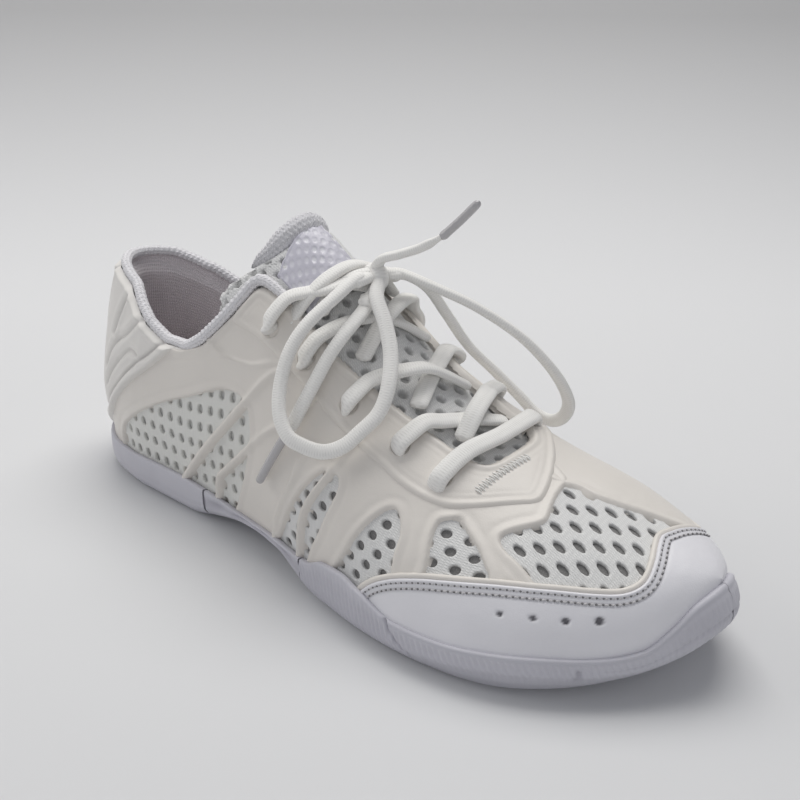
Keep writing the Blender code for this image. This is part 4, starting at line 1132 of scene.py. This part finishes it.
def build_tongue():
    turn, angle, t, c = tongue_grid(-1.6, 1.0, 260, 200, longer=1.6)
    base = place(turn, angle)
    along, over = arc_lengths(base)
    rim = np.minimum((1 - np.abs(c)) * np.abs(over[:, -1:]), along)
    near_top = ramp(along, 24, 18)
    holes = lattice(along + 2.0, over, TONGUE_HOLES, 1.45)
    holes = holes * ramp(rim, 1.9, 2.6) * ramp(t, 0.97, 0.93)
    middle = ramp(np.abs(over), 17.5, 15.5) * ramp(along, 5, 7) * near_top
    holes = holes * (1 - middle)
    for x, rise in WING_HOLES:
        for side in (-1, 1):
            spot = place(turn_at(x), across(side, rise))
            wing = np.linalg.norm(base - spot, axis=-1)
            holes = np.where(wing < 4.2, 0, holes)
            holes = np.maximum(holes, ramp(wing, 1.85, 1.25))
    dots = lattice(along, over, (1.9, 1.05), 0.3) * bell(along - 4.4, 0.8)
    quilt = 0.35 * np.cos(along / 9.0) * ramp(rim, 0, 6)
    depth = 2.8 - 0.5 * ramp(rim, 0.5, 3.5) - quilt + 2.6 * ramp(rim, 1.7, 0.0) + 1.6 * holes + 0.7 * dots
    outer = place(turn, angle, depth)
    # painted shade: darker in the holes and the small dots
    made = surface("tongue_shell", outer, tongue_lit_look, tone=np.clip(0.95 * holes + dots, 0, 1))
    wear(made, "upper_mesh", "tongue_body", body="tongue")
    turn, angle, t, c = tongue_grid(1.0, 0.9, 90, 70)
    base = place(turn, angle)
    along, over = arc_lengths(base)
    rim = np.minimum((1 - np.abs(c)) * np.abs(over[:, -1:]), along)
    depth = 6.6 - 2.2 * ramp(rim, 4.5, 0.0) + 0.4 * np.sin(along / 6.0) * np.cos(over / 7.0)
    lining = surface("tongue_lining_pad", place(turn, angle, depth), lining_look, flip=True)
    wear(lining, "lining_knit", "tongue_lining", body="tongue")


def tongue_top(count, reach):
    """Places along the tongue's top edge, lateral to medial."""
    at = np.linspace(-reach[0], reach[1], count)
    rise = 90 - 46 * np.abs(at)
    return at, turn_at(TONGUE_TOP_X(rise)), np.where(at < 0, rise, 180 - rise)


ROLL_COUNT, ROLL_REACH = 400, (0.78, 0.94)
ROLL_RADIUS, ROLL_DEPTH = 4.3, 4.6


def build_roll():
    """The padded roll of ribbed knit along the tongue's top edge, and the seam under it."""
    at, turn, angle = tongue_top(ROLL_COUNT, ROLL_REACH)
    radius = (ROLL_RADIUS - 1.6 * at ** 2) * ramp(at, -0.92, -0.3) ** 0.5
    path, normal = beside(turn, angle, radius + 0.7, np.full(ROLL_COUNT, ROLL_DEPTH))
    even = evenly(path, 0.3)
    index = np.linspace(0, ROLL_COUNT - 1, len(even))
    up = between(index, np.arange(ROLL_COUNT), normal)
    swell = np.interp(index, np.arange(ROLL_COUNT), radius) / ROLL_RADIUS

    def ribs(length, around):
        slip = length + 1.1 * np.sin(around * 2)
        wale = 0.17 * np.sin(math.tau * slip / 1.5)
        return wale + 0.08 * np.sin(math.tau * length / 11.0) + 0.05 * np.sin(around * 9)

    made = ribbed_sweep("tongue_roll", even, unit(up), 4.25, pad_look, ribs, around=34, swell=swell)
    wear(made, "binding_knit", "tongue_pad", body="tongue")
    line = Line(np.stack((turn + 0.004, angle), -1)[20:-20])
    thread = stitches("tongue_roll_seam", line, 2.75, 1.5, stitch_look, radius=0.3)
    wear(thread, "lace_weave", body="tongue")


def build_patch():
    """The blank translucent film patch on the tongue, dimpled where it lies over the mesh holes."""
    turns = np.linspace(float(turn_at(-22.8)), float(turn_at(-4.5)), 70)
    turn, angle = np.meshgrid(turns, np.linspace(58, 97, 96), indexing="ij")
    base = place(turn, angle)
    along, over = arc_lengths(base)
    wide = over - over[:, :1]
    rim = np.minimum(np.minimum(along, along[-1:] - along), np.minimum(wide, wide[:, -1:] - wide))
    dimples = lattice(along, over, (4.4, 2.5), 0.95)
    dimples = dimples * (0.25 + 0.75 * np.abs(np.sin(0.35 * along + 1.0) * np.cos(0.23 * over)))
    depth = 1.75 + 0.9 * ramp(rim, 0.9, 0.0) + 0.35 * dimples + 0.15 * bell(rim - 1.6, 0.4)
    made = surface("tongue_patch_film", place(turn, angle, depth), patch_look, tone=dimples * 0.9)
    wear(made, "patch_film", "tongue_patch", body="tongue")


TACK_START, TACK_END = (59.4, 61.5), (62.4, 84.0)


def build_bartack():
    """The bar tack across the foot of the throat: a close row of short threads."""
    parts = []
    for k, share in enumerate(np.linspace(0, 1, 30)):
        x = TACK_START[0] + (TACK_END[0] - TACK_START[0]) * share + np.linspace(-1.2, 1.2, 9)
        x = x + 0.3 * (-1) ** k
        angle = np.full(9, TACK_START[1] + (TACK_END[1] - TACK_START[1]) * share)
        arch = np.sin(np.linspace(0, math.pi, 9))
        parts.append((place(turn_at(x), angle, -0.5 - 0.4 * arch), outward(turn_at(x), angle)))
    made = bundle("throat_tack_threads", parts, 0.3, lace_look)
    wear(made, "binding_knit", "throat_bartack")


# ---------------------------------------------------------------- sockliner
def inset_edge(turn, medial, inset):
    """Points of the sole outline moved inwards along its own normal."""
    edge = MEDIAL_EDGE if medial else LATERAL_EDGE
    turn = np.asarray(turn, float)
    x, y = x_at(turn), edge(turn)
    dx = x_at(np.minimum(turn + 0.002, 1)) - x_at(np.maximum(turn - 0.002, 0))
    dy = edge(np.minimum(turn + 0.002, 1)) - edge(np.maximum(turn - 0.002, 0))
    size = np.maximum(np.hypot(dx, dy), 1e-9)
    sign = -1 if medial else 1
    return x - sign * dy / size * inset, y + sign * dx / size * inset


def build_sockliner():
    turn = np.linspace(0.04, 0.96, 160)
    lx, ly = inset_edge(turn, False, 7.6)
    mx, my = inset_edge(turn, True, 7.6)
    share = np.linspace(0, 1, 70)
    x = lx[:, None] + (mx - lx)[:, None] * share
    y = ly[:, None] + (my - ly)[:, None] * share
    half = np.minimum(share, 1 - share) * (my - ly)[:, None]
    from_end = np.minimum(np.arange(160), 159 - np.arange(160))[:, None] * 1.4
    rim = np.minimum(half, from_end)
    floor = FLOOR_Z(x)
    top = floor + 5.3 - 2.2 * ramp(rim, 2.4, 0.0)
    top = top + 0.35 * np.sin(x / 11.0) * np.cos(y / 8.0) * ramp(rim, 2, 8)
    bottom = floor + 1.9
    upper = np.stack((x, y, top), -1)
    lower = np.stack((x, y, np.minimum(bottom, top - 0.3)), -1)
    rings = np.concatenate((upper, lower[:, ::-1]), axis=1)
    rings = np.concatenate((rings, rings[:, :1]), axis=1)
    uv = np.stack((rings[..., 0], rings[..., 1]), -1)
    made = closed_tube("sockliner_pad", rings[:, ::-1], uv[:, ::-1], lining_look)
    wear(made, "lining_knit", "sockliner", body="sockliner")


# ---------------------------------------------------------------- outsole
SOLE_UNITS = (("heel", -127.5, -46.8), ("waist", -46.0, 8.2), ("forefoot", 9.0, 127.5))
CUP_BASE = 2.2


def half_section(turn, medial, unit_name, perimeter):
    """One side of the sole's cross-sections, from the inside of the rim, down and under to the middle."""
    x = x_at(turn)
    under, edge, feather = UNDERSIDE_Z(x), EDGE_Z(x), FEATHER_Z(x)
    floor = FLOOR_Z(x) - 0.2 if unit_name == "waist" else under + CUP_BASE
    lean = 0.22 * np.maximum(feather - 16, 0)
    wall_low = np.maximum(floor, edge + 1.1)
    spots = [(0 * x + 7.6, floor), (0 * x + 1.9, floor + 0.1), (0 * x + 1.35, wall_low + 0.2),
             (lean + 2.6, feather - 1.1), (lean + 2.0, feather - 0.2), (lean + 0.75, feather + 0.06)]
    wall = np.linspace(0.02, 0.98, 22)
    for s in wall:
        belly = edge + 0.35 * (feather - edge)
        z = feather - (feather - edge) * s
        upper = np.clip((z - belly) / np.maximum(feather - belly, 0.1), 0, 1)
        lower = np.clip((belly - z) / np.maximum(belly - edge, 0.1), 0, 1)
        inset = lean * upper ** 1.5 + 0.28 * upper ** 8 + 0.9 * lower ** 2.2
        spots.append((inset + relief(x, s, unit_name, perimeter), z))
    spots.append((0 * x + 1.8, edge - 0.4 * (edge - under)))
    spots.append((0 * x + 4.0, under + 0.14 * (edge - under)))
    spots.append((0 * x + 7.0, under))
    points = []
    for inset, z in spots:
        px, py = inset_edge(turn, medial, inset)
        points.append(np.stack((px, py, z + 0 * x), -1))
    cuts = [relief(x, s, unit_name, perimeter) for s in wall]
    tone = np.zeros((len(x), len(spots)))
    # painted shade: darker where the sidewall is cut back
    tone[:, 6:6 + len(wall)] = np.clip(np.stack(cuts, 1) * 0.7 - 0.1, 0, 0.8)
    return np.stack(points, 1), tone


def relief(x, s, unit_name, perimeter):
    """How far the sidewall is cut back: ribs, grooves and wrinkles. s is 0 at its top edge."""
    if unit_name == "waist":
        wrinkle = 0.25 * np.sin(x / 2.1 + 3 * s) * bell(s - 0.5, 0.3)
        return 0.75 * bell(s - 0.55, 0.3) + wrinkle
    if unit_name == "heel":
        return 0.2 * bell(s - 0.72, 0.06) + 0.05 * np.sin(x / 5.0)
    toe = ramp(x, 104, 116)
    ribs = 0.17 * np.sin(math.tau * (perimeter - 2.4 * s) / 1.9)
    ribbed = ramp(s, 0.12, 0.3) * (1 - 0.5 * toe) + ramp(x, 57, 50) * 0.4
    band = 0.32 * bell(s - (0.52 + 0.1 * toe), 0.045) * (0.15 + toe)
    curve = 1.0 * bell(x - (50 + 8.5 * s ** 1.4), 0.75)
    notch = 0.8 * bell(x - 103, 0.8) * ramp(s, 0.35, 0.6)
    lip = 0.28 * bell(s - 0.13, 0.035) * ramp(x, 40, 60)
    return ribs * ribbed + band + curve + notch + lip


def build_sole():
    """The three moulded units, each one closed shell round its cross-sections."""
    for name, start, end in SOLE_UNITS:
        rows = {"heel": 260, "waist": 150, "forefoot": 620}[name]
        turn = np.linspace(float(turn_at(start)), float(turn_at(end)), rows)
        turn = np.clip(turn, 0.0006, 0.9994)
        halves = []
        for medial in (False, True):
            px, py = inset_edge(turn, medial, 0)
            perimeter = summed(np.hypot(np.diff(px), np.diff(py)))
            halves.append(half_section(turn, medial, name, perimeter))
        (lateral, lateral_tone), (medial, medial_tone) = halves
        share = np.linspace(0, 1, 26)[1:-1]
        span = medial[:, -1] - lateral[:, -1]
        bottom = lateral[:, -1][:, None] + span[:, None] * share[None, :, None]
        bottom[..., 2] += tread(bottom, share)
        inside = medial[:, 0][:, None] + (lateral[:, 0] - medial[:, 0])[:, None] * share[None, ::4, None]
        rings = np.concatenate((lateral, bottom, medial[:, ::-1], inside), axis=1)
        rings[..., 2] = np.maximum(rings[..., 2], 0.0)
        rings = np.concatenate((rings, rings[:, :1]), axis=1)
        uv = np.stack((rings[..., 0], summed(gaps(rings, 1))), -1)
        blank = np.zeros((rows, bottom.shape[1]))
        tone = np.concatenate((lateral_tone, blank, medial_tone[:, ::-1],
                               np.zeros((rows, inside.shape[1]))), axis=1)
        tone = np.concatenate((tone[:, :1], tone[:, :0:-1]), axis=1)
        made = closed_tube("sole_" + name, rings[:, ::-1], uv[:, ::-1], sole_look, tone)
        wear(made, "sole_rubber", "outsole_" + name)


def tread(points, share):
    """Shallow tread grooves in the underside, kept clear of its rim."""
    x, y = points[..., 0], points[..., 1]
    clear = ramp(np.minimum(share, 1 - share), 0.02, 0.1)[None, :]
    waves = np.abs(np.sin(x / 2.6 + 0.5 * np.cos(y / 7.0)))
    return 0.6 * ramp(waves, 0.35, 0.0) * clear


# ---------------------------------------------------------------- laces
LACE_OVER, LACE_REST, LACE_RISE = -2.7, 0.2, 4.6
LACE_WIDE, LACE_THICK, LACE_RADIUS = 2.9, 1.45, 2.3
LOOP_THICK = 1.5
KNOT = np.array([4.5, 2.0, 92.5])
CROSSING_SHARES = (0, 0.25, 0.45, 0.6, 0.8, 1)
LATERAL_LOOP = [
    (5, -7.5, 94.2), (4, -16, 89.8), (0.5, -24, 83), (-2, -29, 75.5), (-2.6, -32.7, 66.5),
    (0.4, -36.7, 58.5), (5.6, -38.6, 53), (11, -37.5, 50.8), (17, -35.3, 50), (21.8, -32, 52),
    (25, -28, 56.2), (28.5, -23.5, 62), (28.2, -19, 69), (24.2, -13.5, 76.5), (18.5, -9.5, 83.5),
    (12, -6, 89.5)]
MEDIAL_LOOP = [
    (9.5, 8, 93.5), (19.4, 12.5, 90), (30.6, 20, 84), (42.3, 28.5, 74.5), (50.6, 35, 63.5),
    (53.8, 39.8, 53.4), (51.6, 42.2, 46.4), (46.3, 43.5, 42.4), (40.2, 42.9, 43.4), (34.6, 40.8, 48.8),
    (27.1, 36.3, 57.2),
    (20.3, 30, 66.5), (17, 22.6, 78), (15, 15.5, 87.6), (11, 9.5, 92.6)]
LATERAL_END = [
    (8.5, -7, 86), (10, -13, 83.5), (9.8, -19, 79.5), (7.8, -23.2, 73.5), (6, -27.3, 66.3),
    (4, -30.9, 59.2), (2, -33, 53.5), (0.4, -34.2, 50)]
LATERAL_AGLET = [(-0.2, -34.6, 49), (-5.6, -35.7, 40), (-10.6, -36.1, 31.6)]
MEDIAL_END = [(7.6, 1.4, 98.9), (14, 2.6, 101.4), (21, 4, 104.4), (28.3, 5, 108.9)]
MEDIAL_AGLET = [(28.9, 5.1, 109.4), (34, 5.6, 114.2), (39.2, 6, 119.5)]


def on_skin(spots):
    """Points on the skin from (x, angle, depth) spots."""
    x, angle, depth = np.array(spots, float).T
    return place(turn_at(x), angle, depth)


def lace_up(path):
    """Directions away from the shoe along a lace, so that its flat side lies on the shoe."""
    middle = np.stack((path[:, 0] * 0.9, np.full(len(path), 3.0), np.full(len(path), 34.0)), -1)
    return unit(path - middle)


def lace(name, points, *nodes, up=None, wide=LACE_WIDE, thick=LACE_THICK, steps=10, swell=None, ends=1.0):
    """A braided lace through some points, in place of CAD nodes. Returns it and its path."""
    path = evenly(smooth(points, steps=steps), 0.75)
    up = lace_up(path) if up is None else up
    grow = None if swell is None else np.interp(np.linspace(0, 1, len(path)), *swell)
    made = sweep(name, path, up, wide, thick, lace_look, around=22, square=2.4, swell=grow, ends=ends)
    wear(made, "lace_weave", *nodes)
    return made, path


def crossing(side, row, high):
    """A lace from the edge of one eyestay, over the tongue, through the next eyelet of the other.

    The last two go under the other eyestay instead, and come out of its top eyelet towards the knot."""
    last = row == 3
    start_x = EYELET_X[side][row] - (2.0 if last else 3.5)
    end_x = EYELET_X[-side][row + 1] + (6 if last else 0)
    start = across(side, float(TOP_RISE[side](start_x)) + 7)
    end = across(-side, float(TOP_RISE[-side](end_x)) + 2)
    rest = LACE_REST - (0.3 if last else 0)
    lifts = (0, 0.8 if row == 0 else 0.5, 1, 1, 0.8, 0.5) if high else (0, 0, 0.04, 0.04, 0.2, 0.55)
    spots = []
    for share, lift in zip(CROSSING_SHARES, lifts):
        spots.append((start_x + (end_x + 1.8 - start_x) * share, start + (end - start) * share,
                      rest - LACE_RISE * lift * (0.6 if last else 1)))
    if last:
        edge = float(TOP_RISE[-side](end_x - 1))
        spots[-1] = (end_x + 0.8, across(-side, edge + 3), 0.4)
        return spots + [(end_x - 1, across(-side, edge - 3), 1.7),
                        (end_x - 3, across(-side, edge - 8), 2.6)]
    eyelet = EYELET_RISE[-side][row + 1]
    spots.append((end_x + 0.8, across(-side, eyelet + 5), LACE_OVER - 0.4))
    spots.append((end_x, across(-side, eyelet), LACE_OVER))
    return spots


def build_crossings():
    for row in range(4):
        high_side = 1 if row % 2 else -1
        for side, word in ((-1, "lateral"), (1, "medial")):
            spots = crossing(side, row, side == high_side)
            name = "{}_{}".format(word, row + 1)
            points = on_skin(spots)
            if row < 3:
                eyelet = place(turn_at(spots[-1][0]), spots[-1][1], np.array(1.4))
                points = np.vstack((points, eyelet + (points[-1] - points[-2]) * 0.3))
            lace("crossing_" + name, points, "lace_cross_" + name)


def build_front_bar():
    spots = [(48.9, 54, 0.6), (49.2, 58, LACE_OVER), (50.2, float(TOP_RISE[-1](50.2)) + 1, LACE_OVER),
             (52.5, 84, -1.6), (52.5, 180 - float(TOP_RISE[1](52.5)) - 1, LACE_OVER),
             (51.5, 180 - 72, LACE_OVER), (51.3, 180 - 67, 0.6)]
    lace("front_bar_lace", on_skin(spots), "lace_bar")


def build_top_laces():
    """The laces from the two top eyelets to the knot."""
    for side, end, name in ((-1, (-0.6, -5.4, 91.8), "lateral"), (1, (3.2, 10.6, 91.6), "medial")):
        x, rise = EYELET_X[side][4], EYELET_RISE[side][4]
        edge = float(TOP_RISE[side](x + 3))
        spots = [(x - 0.8, across(side, rise - 1), 1.6),
                 (x, across(side, rise + 1), LACE_OVER),
                 (x + 1.2, across(side, rise + 5), LACE_OVER - 0.4),
                 (x + 3.5, across(side, edge + 3), LACE_OVER + 0.3),
                 (x + 7.5, across(side, edge + 9), -1.2),
                 (x + 12, across(side, edge + 16), -2.8)]
        points = np.vstack((on_skin(spots), end))
        points = np.vstack((points, points[-1] + (KNOT - points[-1]) * 0.3))
        lace("top_lace_" + name, points, "lace_top_" + name)


def wrap_path(centre, overway, radius, depth, start, sweep_angle, climb):
    """An arc of lace round the knot. overway is the axis it winds round."""
    axis = unit(np.array(overway, float))
    top = unit(np.array([0.0, 0.0, 1.0]) - axis * axis[2])
    side = np.cross(axis, top)
    share = np.linspace(0, 1, 24)
    angle = np.radians(start + sweep_angle * share)
    ring = side * (np.cos(angle) * radius)[:, None] + top * (np.sin(angle) * depth)[:, None]
    return np.array(centre) + ring + axis * (climb * (share - 0.5))[:, None]


def build_knot():
    """The knot: one wrap across the middle, and two bights of lace that it holds together."""
    band = wrap_path(KNOT + (0, 0, 0.2), (0.35, 1, 0.1), 4.2, 2.9, -100, 330, 2.4)
    lace("knot_wrap", band, "lace_knot", up=unit(band_up(band, KNOT, (0.35, 1, 0.1))), wide=2.6, steps=3)
    lateral = [(-2.2, -5.2, 91.6), (1.2, -2.6, 93.4), (4.2, 0.2, 94.2), (6.4, 4.4, 93.9),
               (8.6, 7.2, 93.2)]
    medial = [(3.9, 9.4, 91.6), (3.4, 5.6, 93.2), (4.4, 0.6, 93.0), (5.6, -4.2, 93.6), (5.2, -8.2, 93.2)]
    lower = [(0.6, -3.6, 90.6), (4.6, 0.6, 89.6), (8.0, -2.4, 89.2), (8.6, -7.4, 87.2)]
    for k, points in enumerate((lateral, medial, lower)):
        lace("knot_strand_{}".format(k + 1), points, wide=2.5, thick=1.7)


def band_up(path, centre, axis):
    axis = unit(np.array(axis, float))
    away = path - centre
    wanted = away - (away @ axis)[:, None] * axis
    count = len(evenly(smooth(path, steps=3), 0.75))
    return between(np.linspace(0, len(path) - 1, count), np.arange(len(path)), wanted)


def free_cord(path):
    """Thins a lace's path to every third point and its last one; nothing is done with the result."""
    path = path[::3] if (len(path) - 1) % 3 == 0 else np.vstack((path[::3], path[-1]))


def build_loops():
    """The two bow loops, from the knot back to it."""
    for points, name, start, end in (
            (LATERAL_LOOP, "lateral", (4.6, -4.6, 93.6), (7.7, 0.5, 93.1)),
            (MEDIAL_LOOP, "medial", (7.0, 5.2, 93.2), (7.7, 5.2, 93.1))):
        made, path = lace("loop_" + name, [start] + points + [end], "lace_loop_" + name,
                          wide=LACE_RADIUS, thick=LOOP_THICK)
        free_cord(path)


def build_ends():
    """The two lace ends, each with its tip, from the knot."""
    for points, tip, name, start, pinch in (
            (LATERAL_END, LATERAL_AGLET, "lateral", (6.4, -3.8, 88.0), 0.88),
            (MEDIAL_END, MEDIAL_AGLET, "medial", (4.5, 1.4, 94.6), 0.76)):
        inside = tuple((np.array(tip[0]) * 0.3 + np.array(tip[1]) * 0.7).tolist())
        made, path = lace("end_" + name, [start] + points + [tip[0], inside], "lace_end_" + name,
                          wide=LACE_RADIUS, swell=((0, pinch - 0.1, pinch, 1), (1, 1, 0.62, 0.5)), ends=0.2)
        line = evenly(smooth([points[-1]] + tip, steps=10), 0.7)
        share = np.linspace(0, 1, len(line))
        cap = sweep("aglet_" + name + "_tip", line, lace_up(line), 1.45, 1.3, aglet_look, around=18,
                    swell=np.interp(share, (0, 0.06, 0.12, 0.9, 1), (1.02, 1.08, 1.0, 0.98, 0.9)))
        wear(cap, "aglet_plastic", "aglet_" + name)
        free_cord(path)


# ---------------------------------------------------------------- stage, camera and light
def build_stage():
    """A seamless pale floor that curves up behind the shoe."""
    back = []
    for share in np.linspace(0, 1, 24):
        turn = share * math.pi / 2
        back.append((260 + 500 * math.sin(turn), 500 - 500 * math.cos(turn)))
    profile = [(-1500, 0), (0, 0)] + back + [(800, 2200)]
    yaw = math.radians(CAMERA_YAW)
    away = np.array([-math.sin(yaw), math.cos(yaw), 0])
    right = np.array([math.cos(yaw), math.sin(yaw), 0])
    points = []
    for reach, height in profile:
        for wide in (-2400, 2400):
            points.append(away * reach + right * wide + np.array([0, 0, height]))
    look = Look("backdrop_look", (0.72, 0.725, 0.735), 0.9, Specular_IOR_Level=0.1)
    height = look.node("SeparateXYZ", look.position()).outputs[2]
    # painted shade: the backdrop darkens upward from the floor, for the light falling off up the wall
    look.tint(look.node("MapRange", height, -0.02, 0.15, 0.0, 1.0).outputs[0], (0.41, 0.41, 0.415))
    look.tint(look.math("MULTIPLY", look.noise(0.01, 2), 0.04), (0.60, 0.61, 0.64))
    floor = make_object("backdrop", np.array(points), grid_faces(len(profile), 2), look.done())


SHOE_CENTRE = (0.0, 0.0, 0.04)


def area_light(name, location, size, power, colour):
    """A rectangular light that faces the shoe."""
    data = bpy.data.lights.new(name, "AREA")
    data.shape = "RECTANGLE"
    data.size, data.size_y = size
    data.energy = power
    data.color = colour
    made = bpy.data.objects.new(name, data)
    made.location = location
    bpy.context.scene.collection.objects.link(made)
    made.rotation_mode = "QUATERNION"
    made.rotation_quaternion = (Vector(SHOE_CENTRE) - made.location).to_track_quat("-Z", "Y")


def build_lights():
    area_light("key_light", (-0.18, 0.32, 1.05), (0.9, 0.7), 8.6, (1.0, 0.985, 0.96))
    area_light("side_light", (-1.1, -0.5, 0.7), (0.8, 0.8), 4.0, (1.0, 0.98, 0.95))
    area_light("front_light", (0.7, -1.1, 0.75), (1.0, 0.7), 2.3, (0.98, 0.98, 1.0))
    world = bpy.data.worlds.new("studio")
    bpy.context.scene.world = world
    world.use_nodes = True
    sky = world.node_tree.nodes["Background"]
    sky.inputs["Color"].default_value = (0.93, 0.95, 1.0, 1)
    sky.inputs["Strength"].default_value = 0.31


CAMERA_YAW, CAMERA_PITCH, CAMERA_ROLL = 40.3, 22.9, 0.5
CAMERA_AT, CAMERA_LENS = (0.2047, -0.2219, 0.1781), 45.0


def build_camera():
    yaw, pitch = math.radians(CAMERA_YAW), math.radians(CAMERA_PITCH)
    roll = math.radians(CAMERA_ROLL)
    back = Vector((math.sin(yaw) * math.cos(pitch), -math.cos(yaw) * math.cos(pitch), math.sin(pitch)))
    right = Vector((math.cos(yaw), math.sin(yaw), 0))
    up = back.cross(right)
    turned = right * math.cos(roll) + up * math.sin(roll)
    raised = up * math.cos(roll) - right * math.sin(roll)
    data = bpy.data.cameras.new("photo_camera")
    data.lens, data.sensor_width = CAMERA_LENS, 36.0
    data.clip_start, data.clip_end = 0.01, 20
    made = bpy.data.objects.new("photo_camera", data)
    made.matrix_world = Matrix.Translation(CAMERA_AT) @ Matrix((turned, raised, back)).transposed().to_4x4()
    bpy.context.scene.collection.objects.link(made)
    bpy.context.scene.camera = made


# ---------------------------------------------------------------- all of it
def dress_frame():
    """Gives the CAD nodes that stay their own materials, by slot."""
    looks = {"sole_rubber": sole_look, "midsole_foam": foam_look, "fibre_board": board_look,
             "upper_mesh": mesh_look, "overlay_synthetic": film_look, "toe_film": cap_look,
             "binding_knit": binding_look, "lining_knit": lining_look, "padding_foam": foam_look,
             "patch_film": patch_look, "lace_weave": lace_look, "aglet_plastic": aglet_look}
    for part in frame["record"]["subparts"]:
        node = bpy.data.objects.get(part["node"])
        for slot in node.material_slots if node else []:
            slot.material = looks[part["material_slot"]]


bpy.context.scene.view_settings.view_transform = "Standard"
build_lights()
build_camera()
build_stage()
dress_frame()
build_film(-1)
build_film(1)
build_guard()
build_mesh()
build_toe_cap()
build_clip()
build_binding()
build_lining()
build_tongue()
build_roll()
build_patch()
build_bartack()
build_sockliner()
build_sole()
build_crossings()
build_front_bar()
build_top_laces()
build_knot()
build_loops()
build_ends()
